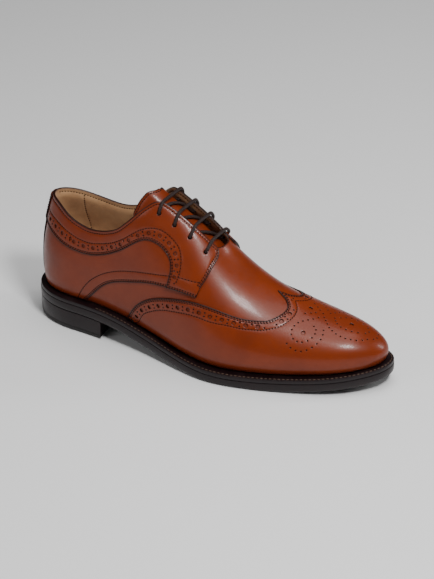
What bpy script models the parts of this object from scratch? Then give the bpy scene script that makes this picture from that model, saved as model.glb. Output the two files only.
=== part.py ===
"""Right-foot brogue shoe in welted construction, built from a table of sections of its own last.

Lengths below are in millimetres and MM turns them into metres. Before the last shift, x runs from the
back of the heel to the toe, y points to the inner (medial) side and z rises from the floor.
"""
import math

import bmesh
import bpy
import numpy as np
from mathutils import Vector
from mathutils.geometry import delaunay_2d_cdt

MM = 0.001

# one row per section across the shoe, all from the outside of the leather
LAST = (
    # x, lateral width, medial width, seat height, welt margin, tuck, ridge, roundness, bulge height
    (0, 34.4, 33.4, 27.0, 3.7, 1.6, 108.0, 2.13, 14.0),
    (40, 32.9, 32.5, 27.0, 3.5, 3.4, 115.0, 2.13, 14.4),
    (80, 35.2, 31.4, 25.2, 3.0, 4.0, 118.0, 2.18, 15.4),
    (115, 39.6, 31.6, 18.2, 3.2, 5.2, 104.0, 1.98, 14.6),
    (145, 46.8, 36.6, 12.7, 3.8, 5.3, 88.5, 1.90, 13.4),
    (172, 52.2, 43.8, 10.1, 4.6, 5.1, 65.5, 1.90, 12.2),
    (200, 50.6, 45.9, 9.9, 5.1, 4.5, 47.0, 1.86, 11.0),
    (230, 44.9, 44.4, 11.2, 5.2, 4.1, 33.9, 2.02, 9.9),
    (258, 41.2, 41.2, 13.7, 5.2, 3.9, 28.2, 2.18, 9.0),
    (282, 38.6, 36.0, 17.1, 5.1, 3.4, 26.4, 2.24, 8.0),
    (302, 33.2, 32.5, 20.1, 5.0, 2.2, 22.3, 2.29, 7.0),
)
LENGTH = 302.0
TOE_SWING = 18.4
SWING_START = 60.0
HEEL_START, HEEL_ROUND = 45.0, 2.12
HEEL_TOP_ROUND = 1.85
TOE_START, TOE_ROUND, RIDGE_ROUND = 215.0, 2.24, 2.15
HEEL_CENTRE, TOE_CENTRE = 40.0, 232.0

# the top of the heel draws in towards the ankle, between two heights
ANKLE = (
    # station, share of the half width
    (0.0, 0.42),
    (20.0, 0.4),
    (30.0, 0.31),
    (40.0, 0.235),
    (52.0, 0.18),
    (64.0, 0.165),
    (78.0, 0.115),
    (92.0, 0.03),
    (110.0, 0.0),
)
ANKLE_LOW, ANKLE_HIGH = 60.0, 106.0

# height of the top edge, measured up the leather from the welt
COLLAR = (
    # station, lateral height, medial height
    (0.0, 78.2, 78.2),
    (10.0, 78.4, 78.4),
    (20.0, 77.9, 77.9),
    (30.0, 75.0, 74.9),
    (40.0, 71.2, 71.0),
    (49.0, 68.9, 68.6),
    (58.0, 67.9, 67.6),
    (66.0, 68.9, 68.6),
    (76.0, 72.7, 72.6),
    (84.5, 78.4, 78.7),
    (91.5, 86.3, 87.0),
    (96.0, 92.1, 92.8),
    (99.5, 97.0, 97.6),
    (105.0, 104.5, 105.0),
    (110.0, 110.6, 111.0),
)
# half of the gap between the lace facings, measured from the ridge
FACING = (
    # station, half gap
    (114.5, 18.4),
    (119.0, 15.8),
    (124.0, 14.7),
    (134.5, 13.8),
    (145.5, 12.7),
    (155.5, 11.2),
    (161.5, 10.2),
)
THROAT_END, THROAT_HALF = 163.5, 6.0
EYELETS = ((156.5, 21.1), (143.5, 22.6), (130.5, 24.1), (117.3, 25.6))
QUARTER_LOW = (
    # station, height
    (54.0, 1.2),
    (61.0, 9.5),
    (69.5, 19.9),
    (78.5, 28.2),
    (89.5, 34.9),
    (101.5, 41.0),
    (116.0, 48.0),
    (132.0, 53.0),
    (145.0, 55.4),
    (158.5, 56.2),
)
QUARTER_FRONT = (
    # station, distance from the ridge
    (160.6, 45.0),
    (162.8, 37.2),
    (164.2, 27.4),
    (165.0, 19.6),
    (164.6, 13.4),
    (163.4, 10.9),
)
SWAN_NECK = (
    # station, height
    (0.0, 55.8),
    (8.0, 55.2),
    (15.0, 53.7),
    (22.5, 51.5),
    (29.5, 49.3),
    (36.0, 47.4),
    (42.0, 46.3),
    (48.0, 45.8),
    (54.0, 45.8),
    (60.5, 46.6),
    (67.5, 48.7),
    (82.0, 56.5),
    (94.0, 66.8),
    (103.0, 76.0),
    (110.5, 81.6),
    (118.5, 83.2),
    (127.0, 80.8),
    (132.5, 75.6),
    (134.2, 68.6),
    (133.6, 61.0),
    (132.0, 53.0),
)
CAP_SIDE = (
    # station, height
    (93.0, 1.2),
    (97.0, 9.0),
    (102.0, 18.6),
    (109.5, 28.4),
    (119.0, 36.6),
    (130.0, 43.1),
    (141.5, 48.0),
    (158.0, 52.2),
    (173.5, 51.8),
    (183.5, 49.8),
    (193.0, 47.8),
    (202.0, 47.0),
    (211.0, 47.4),
)
CAP_PEAK = (
    # station, distance from the ridge
    (216.8, 23.5),
    (220.3, 16.8),
    (220.6, 9.6),
    (216.0, 3.6),
    (208.0, 0.0),
)
TONGUE = (
    # station, half width
    (109.6, 0.0),
    (109.5, 3.0),
    (108.6, 8.0),
    (106.6, 13.4),
    (103.2, 22.0),
    (98.6, 33.0),
    (95.0, 43.5),
    (94.2, 48.5),
    (96.5, 51.0),
    (104.0, 50.5),
    (118.0, 46.0),
    (138.0, 38.0),
    (156.0, 32.0),
    (167.0, 28.0),
    (172.0, 20.0),
    (173.0, 0.0),
)
STRAP = (
    # station, height
    (0.0, 2.0),
    (6.0, 2.0),
    (6.4, 30.0),
    (7.4, 53.0),
    (7.5, 56.6),
    (8.8, 75.4),
    (0.0, 76.0),
)
STRAP_STEP = 54.8

UPPER_IN, UPPER_OUT = -2.7, -0.9
GAP = 0.35
SKIN = 0.9
OVERLAY_IN = UPPER_OUT + GAP
OVERLAY_OUT = OVERLAY_IN + SKIN
FACING_OUT = OVERLAY_OUT + SKIN
STRAP_IN = OVERLAY_OUT + GAP + 0.2
LACE_RADIUS = 1.35
HOLE_RADIUS = 2.45
LACE_TOP = FACING_OUT + LACE_RADIUS + 0.85
LACE_LOW = UPPER_IN - LACE_RADIUS - 1.0
TONGUE_OUT = LACE_LOW - LACE_RADIUS - 0.4
TONGUE_THICK = 2.0
ARCH_HALF, ARCH_RISE = 21.0, 0.72
# the medial top edge of the tongue sits forward: distance off the ridge, shift
TONGUE_FORWARD = ((0.0, 0.0), (10.0, 2.5), (26.0, 2.5), (48.0, 0.0))
TONGUE_FREE, TONGUE_BLEND = 124.0, 12.0  # the shift fades out before this station
STEP_WIDTH = 0.6
GRID = 8.6
EDGE = 7.6

SOLE_THICK = 10.4
WELT_THICK = 3.2
HEEL_LENGTH = 71.0
HEEL_CURVE = 2.5
TOP_PIECE = 4.2
INSOLE_THICK = 2.4
MEAN_TUCK = 4.9
INSOLE_INSET = 3.7
WELT_INNER = 8.0
SHEET_GAP = 0.3
TINY = 1e-9
SLIVER = 0.004

COLOURS = {
    # name: base colour, roughness
    "upper": ((0.26, 0.075, 0.022), 0.35),
    "wing_cap": ((0.25, 0.070, 0.020), 0.33),
    "quarter": ((0.25, 0.070, 0.020), 0.35),
    "strap": ((0.20, 0.052, 0.016), 0.38),
    "tongue": ((0.24, 0.070, 0.022), 0.40),
    "insole": ((0.56, 0.36, 0.19), 0.55),
    "welt": ((0.020, 0.014, 0.012), 0.45),
    "outsole": ((0.018, 0.013, 0.012), 0.40),
    "heel": ((0.016, 0.012, 0.012), 0.42),
    "top_piece": ((0.012, 0.012, 0.012), 0.70),
    "lace": ((0.022, 0.012, 0.009), 0.60),
}


def spline(xs, ys):
    """Natural cubic through the rows of a table."""
    xs = np.array(xs, float)
    ys = np.array(ys, float)
    count = len(xs)
    step = np.diff(xs)
    matrix = np.zeros((count, count))
    right = np.zeros(count)
    matrix[0, 0] = matrix[-1, -1] = 1.0
    for i in range(1, count - 1):
        matrix[i, i - 1] = step[i - 1]
        matrix[i, i] = 2 * (step[i - 1] + step[i])
        matrix[i, i + 1] = step[i]
        right[i] = 3 * ((ys[i + 1] - ys[i]) / step[i] - (ys[i] - ys[i - 1]) / step[i - 1])
    bend = np.linalg.solve(matrix, right)

    def value(x):
        x = np.clip(np.asarray(x, float), xs[0], xs[-1])
        i = np.clip(np.searchsorted(xs, x) - 1, 0, count - 2)
        d = x - xs[i]
        slope = (ys[i + 1] - ys[i]) / step[i] - step[i] * (2 * bend[i] + bend[i + 1]) / 3
        cubic = (bend[i + 1] - bend[i]) / (3 * step[i])
        return ys[i] + slope * d + bend[i] * d * d + cubic * d ** 3

    return value


COLUMNS = list(zip(*LAST))
(lateral_width, medial_width, seat, margin,
 tuck, ridge, roundness, bulge) = [spline(COLUMNS[0], column) for column in COLUMNS[1:]]
HEEL_MARGIN = float(margin(0.0))
TOE_MARGIN = float(margin(LENGTH))


def end_factor(x, heel_inset, toe_inset, heel_power, toe_power):
    """One along the middle of the shoe and rounded down to zero at both ends."""
    toe = np.clip((x - TOE_START) / (LENGTH - toe_inset - TOE_START), 0, 1)
    heel = np.clip((HEEL_START - x) / (HEEL_START - heel_inset), 0, 1)
    return (1 - toe ** toe_power) ** (1 / toe_power) * (1 - heel ** heel_power) ** (1 / heel_power)


def axis(x):
    """Sideways swing of the centre line toward the inner side."""
    return TOE_SWING * np.clip((x - SWING_START) / (LENGTH - SWING_START), 0, 1) ** 2


def sole_width(x, side):
    width = np.where(side < 0, lateral_width(x), medial_width(x))
    return width * end_factor(x, 0.0, 0.0, HEEL_ROUND, TOE_ROUND)


def upper_width(x, side):
    width = np.where(side < 0, lateral_width(x), medial_width(x)) - margin(x)
    return width * end_factor(x, HEEL_MARGIN, TOE_MARGIN, HEEL_ROUND, TOE_ROUND)


def top_height(x, y):
    """Height of the leather above the widest line."""
    off = y - axis(x)
    rho = np.clip(np.abs(off) / np.maximum(upper_width(x, off), 1e-6), 0, 1)
    power = roundness(x)
    rise = ridge(x) * end_factor(x, HEEL_MARGIN, TOE_MARGIN, HEEL_TOP_ROUND, RIDGE_ROUND)
    return seat(x) + bulge(x) + rise * (1 - rho ** power) ** (1 / power)


def foot_of(station):
    """Centre and heading of a section: a fan at the heel, straight across, a fan at the toe."""
    heel = np.clip(station / HEEL_CENTRE, 0, 1)
    toe = np.clip((station - TOE_CENTRE) / (LENGTH - TOE_CENTRE), 0, 1)
    centre = np.clip(station, HEEL_CENTRE, TOE_CENTRE)
    return centre, axis(centre), math.pi / 2 * (2 - heel - toe)


def reach(station, side, width, first, last):
    """Distance from the centre of a section to an outline."""
    cx, cy, heading = foot_of(station)
    dx, dy = np.cos(heading), np.sin(heading) * side
    near = np.zeros_like(cx)
    far = near + 140.0
    for _ in range(46):
        mid = (near + far) / 2
        x = cx + mid * dx
        off = cy + mid * dy - axis(x)
        inside = (x > first) & (x < last) & (np.abs(off) < width(x, off))
        near = np.where(inside, mid, near)
        far = np.where(inside, far, mid)
    return near


ankle_share = spline(*zip(*ANKLE))


def drawn_in(points):
    """Points of the last moved towards its middle line near the top of the heel."""
    rise = np.clip((points[..., 2] - ANKLE_LOW) / (ANKLE_HIGH - ANKLE_LOW), 0, 1)
    share = ankle_share(points[..., 0]) * rise * rise * (3 - 2 * rise)
    middle = axis(points[..., 0])
    moved = points.copy()
    moved[..., 1] = middle + (points[..., 1] - middle) * (1 - share)
    return moved


class Skin:
    """The outside of the upper on one side, as sections from the welt to the ridge."""

    def __init__(self, side, stations=118, levels=64, low=14, high=90):
        self.s = np.linspace(0.0, LENGTH, stations)
        cx, cy, heading = foot_of(self.s)
        dx, dy = np.cos(heading)[:, None], np.sin(heading)[:, None] * side
        far = reach(self.s, side, upper_width, HEEL_MARGIN, LENGTH - TOE_MARGIN)[:, None]
        edge = cx[:, None] + far * dx
        rise = np.linspace(0, 1, low, endpoint=False)[None, :]
        r = far - tuck(edge) * (1 - rise) ** 2
        lower = np.stack([cx[:, None] + r * dx, cy[:, None] + r * dy,
                          seat(edge) + bulge(edge) * rise], -1)
        turn = np.linspace(0, math.pi / 2, high)[None, :]
        r = far * np.cos(turn) * (1 - TINY)
        x, y = cx[:, None] + r * dx, cy[:, None] + r * dy
        points = drawn_in(np.concatenate([lower, np.stack([x, y, top_height(x, y)], -1)], 1))
        run = np.linalg.norm(np.diff(points, axis=1), axis=2)
        arc = np.concatenate([np.zeros((stations, 1)), np.cumsum(run, 1)], 1)
        self.arc = arc[:, -1]
        part = np.linspace(0, 1, levels)
        self.grid = np.zeros((stations, levels, 3))
        for i in range(stations):
            for k in range(3):
                self.grid[i, :, k] = np.interp(part * arc[i, -1], arc[i], points[i, :, k])
        self.levels = levels

    def at(self, station, part):
        """Point at a station and at a part of the way from the welt to the ridge."""
        i = np.clip(np.searchsorted(self.s, station, side="right") - 1, 0, len(self.s) - 2)
        a = ((station - self.s[i]) / (self.s[i + 1] - self.s[i]))[..., None]
        v = np.clip(part, 0, 1) * (self.levels - 1)
        j = np.clip(v.astype(int), 0, self.levels - 2)
        b = (v - j)[..., None]
        g = self.grid
        back = g[i, j] * (1 - b) + g[i, j + 1] * b
        front = g[i + 1, j] * (1 - b) + g[i + 1, j + 1] * b
        return back * (1 - a) + front * a


OUTER_SIDE = Skin(-1)
INNER_SIDE = Skin(1)


def full_arc(station):
    """Length of leather from the welt to the ridge, taken from the outer side."""
    return np.interp(station, OUTER_SIDE.s, OUTER_SIDE.arc)


def flat(station, height, side):
    """Place of a point in the unrolled plane: sections side by side, fans at both ends."""
    station = np.asarray(station, float)
    from_ridge = full_arc(station) - np.asarray(height, float)
    cx, _, heading = foot_of(station)
    return np.stack([cx + from_ridge * np.cos(heading), side * from_ridge * np.sin(heading)], -1)


def on_skin(plane):
    """Point of the leather over a point of the unrolled plane."""
    plane = np.asarray(plane, float)
    p, q = plane[..., 0], plane[..., 1]
    centre = np.clip(p, HEEL_CENTRE, TOE_CENTRE)
    from_ridge = np.hypot(p - centre, q)
    turn = np.arctan2(np.abs(q), np.abs(p - centre)) / (math.pi / 2)
    heel = np.where(p < HEEL_CENTRE, HEEL_CENTRE * turn, HEEL_CENTRE)
    toe = np.where(p > TOE_CENTRE, (LENGTH - TOE_CENTRE) * (1 - turn), 0.0)
    station = np.where(p < HEEL_CENTRE, heel, centre + toe)
    part = 1 - from_ridge / full_arc(station)
    outer = OUTER_SIDE.at(station, part)
    inner = INNER_SIDE.at(station, part)
    return np.where((q < 0)[..., None], outer, inner)


def lift(plane, offset):
    """Point at a distance outside the leather, along its own normal."""
    plane = np.asarray(plane, float)
    reach_out = 0.8
    dp = on_skin(plane + [reach_out, 0]) - on_skin(plane - [reach_out, 0])
    dq = on_skin(plane + [0, reach_out]) - on_skin(plane - [0, reach_out])
    normal = np.cross(dp, dq)
    normal /= np.linalg.norm(normal, axis=-1, keepdims=True)
    return on_skin(plane) + normal * np.asarray(offset, float)[..., None]


def smooth_line(points, spacing=EDGE):
    """Even points along a smooth line through the given ones."""
    points = np.asarray(points, float)
    run = np.concatenate([[0], np.cumsum(np.linalg.norm(np.diff(points, axis=0), axis=1))])
    fine = np.linspace(0, run[-1], 400)
    curve = np.stack([spline(run, points[:, 0])(fine), spline(run, points[:, 1])(fine)], -1)
    length = np.concatenate([[0], np.cumsum(np.linalg.norm(np.diff(on_skin(curve), axis=0), axis=1))])
    count = max(2, int(round(length[-1] / spacing)) + 1)
    wanted = np.linspace(0, length[-1], count)
    return np.stack([np.interp(wanted, length, curve[:, k]) for k in range(2)], -1)


def fine_rows(rows, spacing=2.5):
    """More rows of station and height along a smooth curve through the given ones."""
    rows = np.asarray(rows, float)
    if len(rows) < 3:
        return rows.T
    run = np.concatenate([[0], np.cumsum(np.linalg.norm(np.diff(rows, axis=0), axis=1))])
    fine = np.linspace(0, run[-1], max(2, int(run[-1] / spacing)))
    return np.stack([spline(run, rows[:, k])(fine) for k in range(2)])


def heights(rows, side):
    """Points of the unrolled plane for rows of station and height."""
    station, height = fine_rows(rows)
    return flat(station, height, side)


def ridge_rows(rows, side):
    """Table of stations and distances from the ridge as points of the unrolled plane."""
    s, d = np.array(rows, float).T
    return np.stack([s, side * d], -1)


def mirrored(points):
    return points[::-1] * [1, -1]


def feather(first, last, side, height=0.0):
    """Lower edge of the leather between two stations, on the stations that all sheets share."""
    between = [s for s in FANS if first + 2.0 < s < last - 2.0]
    stations = np.array([first] + between + [last])
    return flat(stations, np.full(len(stations), height), side)


def chain(*lines):
    """Join lines end to end and drop doubled points."""
    points = np.concatenate(lines)
    keep = [points[0]]
    for point in points[1:]:
        if np.linalg.norm(point - keep[-1]) > 0.05:
            keep.append(point)
    if np.linalg.norm(keep[0] - keep[-1]) < 0.05:
        keep.pop()
    return np.array(keep)


def ring(centre, radius, count=12):
    """Round hole of true size on the leather, drawn in the unrolled plane."""
    centre = np.array(centre, float)
    along = np.linalg.norm(on_skin(centre + [1, 0]) - on_skin(centre - [1, 0])) / 2
    across = np.linalg.norm(on_skin(centre + [0, 1]) - on_skin(centre - [0, 1])) / 2
    turn = np.arange(count) / count * 2 * math.pi
    return centre + np.stack([np.cos(turn) * radius / along, np.sin(turn) * radius / across], -1)


def inside(points, loop):
    """Even-odd test of points against a closed loop."""
    x, y = points[:, 0][:, None], points[:, 1][:, None]
    x1, y1 = loop[:, 0], loop[:, 1]
    x2, y2 = np.roll(x1, -1), np.roll(y1, -1)
    rise = np.where(np.abs(y2 - y1) < TINY, TINY, y2 - y1)
    crosses = ((y1 > y) != (y2 > y)) & (x < (x2 - x1) * (y - y1) / rise + x1)
    return crosses.sum(1) % 2 == 1


FANS = np.concatenate([np.linspace(0, HEEL_CENTRE, 8)[:-1],
                       np.arange(HEEL_CENTRE, TOE_CENTRE - 1, GRID),
                       np.linspace(TOE_CENTRE, LENGTH, 11)])


def shared_points(spacing=GRID):
    """Inner points of every sheet of leather, the same for the upper and its overlays."""
    points = []
    for index, s in enumerate(FANS):
        if HEEL_CENTRE <= s <= TOE_CENTRE:
            points.append((s, 0.0))
        total = float(full_arc(s))
        for h in np.arange(spacing * 0.8, total - spacing * 0.45, spacing):
            from_ridge = total - h
            if s > TOE_CENTRE:
                gap = from_ridge * math.pi / 20
                if index % max(1, math.ceil(5.0 / gap)):
                    continue
            for side in (-1, 1):
                points.append(tuple(flat(s, h, side)))
    return np.unique(np.round(np.array(points), 4), axis=0)


SHARED = shared_points()


def triangulate(loops, lines, inner, clearance, curved):
    """Points and triangles of a flat region with holes; inner points keep clear of its borders."""
    points = []
    edges = []
    for index, line in enumerate(list(loops) + list(lines)):
        start = len(points)
        points.extend(line)
        count = len(line)
        edges += [(start + i, start + i + 1) for i in range(count - 1)]
        if index < len(loops):
            edges.append((start + count - 1, start))
    border = np.array(points)
    keep = inside(inner, loops[0])
    for hole in loops[1:]:
        keep &= ~inside(inner, hole)
    picked = inner[keep]
    if len(picked):
        real = on_skin(picked) if curved else picked
        rim = on_skin(border) if curved else border
        gap = np.linalg.norm(real[:, None] - rim[None], axis=-1).min(1)
        picked = picked[gap > clearance]
    everything = np.concatenate([border, picked])
    result = delaunay_2d_cdt([Vector(p) for p in everything], edges, [], 0, 1e-5)
    found = np.array([tuple(v) for v in result[0]])
    triangles = np.array([tuple(f) for f in result[2]])
    middle = found[triangles].mean(1)
    good = inside(middle, loops[0])
    for hole in loops[1:]:
        good &= ~inside(middle, hole)
    triangles = triangles[good]
    a, b, c = (found[triangles[:, k]] for k in range(3))
    area = (b[:, 0] - a[:, 0]) * (c[:, 1] - a[:, 1]) - (b[:, 1] - a[:, 1]) * (c[:, 0] - a[:, 0])
    triangles[area < 0] = triangles[area < 0][:, ::-1]
    triangles = triangles[np.abs(area) > SLIVER]
    used = np.unique(triangles)
    back = -np.ones(len(found), int)
    back[used] = np.arange(len(used))
    return found[used], back[triangles]


def rim_edges(triangles):
    """Edges used by one triangle only, in that triangle's direction."""
    directed = {}
    for tri in triangles:
        for i in range(3):
            directed[(int(tri[i]), int(tri[(i + 1) % 3]))] = True
    return [edge for edge in directed if (edge[1], edge[0]) not in directed]


def material(name):
    colour, rough = COLOURS[name]
    made = bpy.data.materials.new("mat_" + name)
    made.use_nodes = True
    shader = made.node_tree.nodes["Principled BSDF"]
    shader.inputs["Base Color"].default_value = (*colour, 1.0)
    shader.inputs["Roughness"].default_value = rough
    made.diffuse_color = (*colour, 1.0)
    return made


def add(name, points, faces, look):
    """Named object from millimetre points."""
    mesh = bpy.data.meshes.new(name)
    shifted = (np.asarray(points, float) - ORIGIN) * MM
    mesh.from_pydata([tuple(p) for p in shifted], [], faces)
    mesh.update()
    work = bmesh.new()
    work.from_mesh(mesh)
    bmesh.ops.recalc_face_normals(work, faces=work.faces)
    work.to_mesh(mesh)
    work.free()
    made = bpy.data.objects.new(name, mesh)
    bpy.context.scene.collection.objects.link(made)
    mesh.materials.append(material(look))
    for polygon in mesh.polygons:
        polygon.use_smooth = True
    return made


def two_sided(name, low, high, triangles, look, rings=()):
    """Closed solid between two copies of the same triangles, with rings of points on its rim."""
    count = len(low)
    faces = [tuple(int(v) + count for v in tri) for tri in triangles]
    faces += [tuple(int(v) for v in tri[::-1]) for tri in triangles]
    points = [np.asarray(low), np.asarray(high)]
    border = rim_edges(triangles)
    corners = sorted({v for edge in border for v in edge})
    slot = {v: i for i, v in enumerate(corners)}
    levels = [lambda v: v]
    for index, ring_points in enumerate(rings):
        start = 2 * count + index * len(corners)
        points.append(np.asarray(ring_points)[corners])
        levels.append(lambda v, start=start: start + slot[v])
    levels.append(lambda v: v + count)
    for a, b in border:
        for below, above in zip(levels, levels[1:]):
            faces.append((below(a), below(b), above(b), above(a)))
    return add(name, np.concatenate(points), faces, look)


def leather(name, loops, low, high, look, lines=(), lifted=lift):
    """Sheet of leather over a region of the unrolled plane."""
    plane, triangles = triangulate(loops, lines, SHARED, 3.0, True)
    low_offset = low(plane) if callable(low) else np.full(len(plane), low)
    high_offset = high(plane) if callable(high) else np.full(len(plane), high)
    return two_sided(name, lifted(plane, low_offset), lifted(plane, high_offset), triangles, look)


def collar_points(side):
    column = 1 if side < 0 else 2
    return heights([(row[0], row[column]) for row in COLLAR], side)


def opening_edge(side):
    """Top edge from the back of the heel along one side to the end of the throat."""
    facing = ridge_rows(FACING, side)
    return smooth_line(np.concatenate([collar_points(side), facing]))


def eyelet_rings(side):
    return [ring((s, side * d), HOLE_RADIUS) for s, d in EYELETS]


def outline(inset, width=sole_width, first=0.0, last=LENGTH):
    """Closed outline in the floor plane, outer side first."""
    along = np.concatenate([np.linspace(0, HEEL_CENTRE, 8)[:-1],
                            np.linspace(HEEL_CENTRE, TOE_CENTRE, 19),
                            np.linspace(TOE_CENTRE, LENGTH, 11)[1:]])
    loop = []
    for side in (-1, 1):
        cx, cy, heading = foot_of(along)
        r = reach(along, side, width, first, last) - inset
        xy = np.stack([cx + r * np.cos(heading), cy + side * r * np.sin(heading)], -1)
        loop.append(xy if side < 0 else xy[::-1][1:-1])
    return np.concatenate(loop)


def inward(loop, amount):
    """Loop moved inward along its own normals."""
    along = np.roll(loop, -1, 0) - np.roll(loop, 1, 0)
    normal = np.stack([-along[:, 1], along[:, 0]], -1)
    normal /= np.linalg.norm(normal, axis=1, keepdims=True)
    return loop + normal * amount


def plate(name, loops, top, bottom, rim, look, spacing=17.0):
    """Solid between two height functions; rim gives rows of inset and part of the height."""
    xs = np.arange(8, LENGTH, spacing)
    ys = np.arange(-56, 70, spacing)
    inner = np.array([(x, y + 0.13 * x % 1) for x in xs for y in ys])
    plane, triangles = triangulate(loops, (), inner, 5.0, False)
    shift = {}
    for loop in loops:
        moved = inward(loop, 1.0) - loop
        for point, step in zip(loop, moved):
            shift[tuple(np.round(point, 3))] = step
    pull = np.array([shift.get(tuple(np.round(p, 3)), (0.0, 0.0)) for p in plane])

    def layer(inset, part):
        xy = plane + pull * inset
        z = bottom(xy[:, 0]) * (1 - part) + top(xy[:, 0]) * part
        return np.column_stack([xy, z])

    rows = [layer(inset, part) for inset, part in rim]
    return two_sided(name, rows[0], rows[-1], triangles, look, rows[1:-1])


def cut_heel(loop, breast):
    """Part of a sole outline behind the heel breast, with a slightly hollow front."""
    behind = loop[loop[:, 0] < breast - 2.0]
    order = np.argsort(np.arctan2(behind[:, 1], behind[:, 0] - 60.0) % (2 * math.pi))
    behind = behind[order]
    medial = behind[0]
    lateral = behind[-1]
    across = np.linspace(lateral[1], medial[1], 9)
    middle = (lateral[1] + medial[1]) / 2
    half = (medial[1] - lateral[1]) / 2
    front = [(breast - HEEL_CURVE * (1 - ((y - middle) / half) ** 2), y) for y in across]
    return np.concatenate([behind, front])


def tube(name, path, radius, look, sides=6):
    """Round cord along a path, closed at both ends."""
    path = np.asarray(path, float)
    count = len(path)
    tangent = np.gradient(path, axis=0)
    tangent /= np.linalg.norm(tangent, axis=1, keepdims=True)
    normal = np.cross(tangent[0], [0.0, 0.0, 1.0])
    normal /= np.linalg.norm(normal)
    points = []
    for i in range(count):
        normal = normal - tangent[i] * np.dot(normal, tangent[i])
        normal /= np.linalg.norm(normal)
        other = np.cross(tangent[i], normal)
        for k in range(sides):
            turn = 2 * math.pi * k / sides
            points.append(path[i] + radius * (normal * math.cos(turn) + other * math.sin(turn)))
    faces = [tuple(range(sides))[::-1], tuple((count - 1) * sides + k for k in range(sides))]
    for i in range(count - 1):
        for k in range(sides):
            a, b = i * sides + k, i * sides + (k + 1) % sides
            faces.append((a, b, b + sides, a + sides))
    return add(name, points, faces, look)


def tongue_top(plane):
    """Top of the tongue: set in from the last at the sides, one soft arch over the narrow ridge."""
    plane = np.asarray(plane, float)
    points = lift(plane, np.full(len(plane), TONGUE_OUT))
    near = np.abs(plane[:, 1]) < ARCH_HALF
    if not near.any():
        return points
    ends, slopes = [], []
    for side in (-1, 1):
        at = np.stack([plane[near, 0], np.full(near.sum(), side * ARCH_HALF)], -1)
        offset = np.full(len(at), TONGUE_OUT)
        ends.append(lift(at, offset))
        slope = lift(at + [0, 0.5], offset) - lift(at - [0, 0.5], offset)
        slopes.append(slope * 2 * ARCH_HALF * ARCH_RISE)
    t = ((plane[near, 1] + ARCH_HALF) / (2 * ARCH_HALF))[:, None]
    points[near] = ((1 + 2 * t) * (1 - t) ** 2 * ends[0] + t * (1 - t) ** 2 * slopes[0]
                    + t * t * (3 - 2 * t) * ends[1] - t * t * (1 - t) * slopes[1])
    return points


def tongue_lift(plane, offset):
    """Point at a distance above the top of the tongue, along its normal."""
    plane = np.asarray(plane, float)
    along = tongue_top(plane + [0.8, 0]) - tongue_top(plane - [0.8, 0])
    across = tongue_top(plane + [0, 0.8]) - tongue_top(plane - [0, 0.8])
    normal = np.cross(along, across)
    normal /= np.linalg.norm(normal, axis=-1, keepdims=True)
    return tongue_top(plane) + normal * np.asarray(offset, float)[..., None]


def lace_path():
    """Bars over the facings and slanted runs beneath them, from the lowest eyelets to the top."""
    rows = []
    low, high, middle = LACE_LOW, LACE_TOP, (LACE_LOW + LACE_TOP) / 2
    climb = ((1.6, low), (0.5, low + 0.25), (0.0, low + 1.1), (0.0, middle), (0.0, high - 1.1),
             (0.5, high - 0.25), (1.6, high))
    for index, (s, d) in enumerate(EYELETS):
        edge = np.interp(s, *zip(*FACING))
        rows += [(s, -(d - back), offset) for back, offset in climb]
        rows += [(s, -edge, high)] + [(s, -edge * (1 - part), np.nan) for part in (0.5, 1.0, 1.5)]
        rows += [(s, edge, high)] + [(s, d - back, offset) for back, offset in climb[::-1]]
        if index + 1 < len(EYELETS):
            ahead, wide = EYELETS[index + 1]
            for part in np.linspace(0, 1, 8)[1:-1]:
                q = (d - 1.6) * (1 - part) - (wide - 1.6) * part
                rows.append((s + (ahead - s) * part, q, low))
    rows = np.array(rows, float)
    known = ~np.isnan(rows[:, 2])
    offset = np.where(known, rows[:, 2], 0.0)
    points = lift(rows[:, :2], offset)
    under = offset == low
    points[under] = tongue_lift(rows[under, :2], np.full(under.sum(), LACE_LOW - TONGUE_OUT))
    at = np.arange(len(rows))
    return np.stack([np.interp(at, at[known], points[known, k]) for k in range(3)], -1)


for old in list(bpy.data.objects):
    bpy.data.objects.remove(old, do_unlink=True)

OUTLINE = outline(0.0)
ORIGIN = np.array([LENGTH / 2, (OUTLINE[:, 1].min() + OUTLINE[:, 1].max()) / 2, 0.0])

# upper: one hollow shell, open at the collar, the throat and underneath
outer_edge = opening_edge(-1)
inner_edge = opening_edge(1)
throat = np.array([(THROAT_END, -THROAT_HALF), (THROAT_END + 0.8, 0.0), (THROAT_END, THROAT_HALF)])
opening = chain(outer_edge, throat, inner_edge[::-1])
bottom_edge = chain(feather(0, LENGTH, -1), feather(0, LENGTH, 1)[::-1])
holes = eyelet_rings(-1) + eyelet_rings(1)
leather("upper", [bottom_edge, opening] + holes, UPPER_IN, UPPER_OUT, "upper")

# wing cap: toe piece with a pointed top and a long wing on each side
cap_line = smooth_line(np.concatenate([heights(CAP_SIDE, -1), ridge_rows(CAP_PEAK[:-1], -1)]))
peak = np.array([CAP_PEAK[-1]], float)
cap_low = feather(CAP_SIDE[0][0], LENGTH, -1, CAP_SIDE[0][1])
cap_loop = chain(cap_low, mirrored(cap_low), mirrored(cap_line)[::-1], peak, cap_line[::-1])
leather("wing_cap", [cap_loop], OVERLAY_IN, OVERLAY_OUT, "wing_cap")


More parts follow.
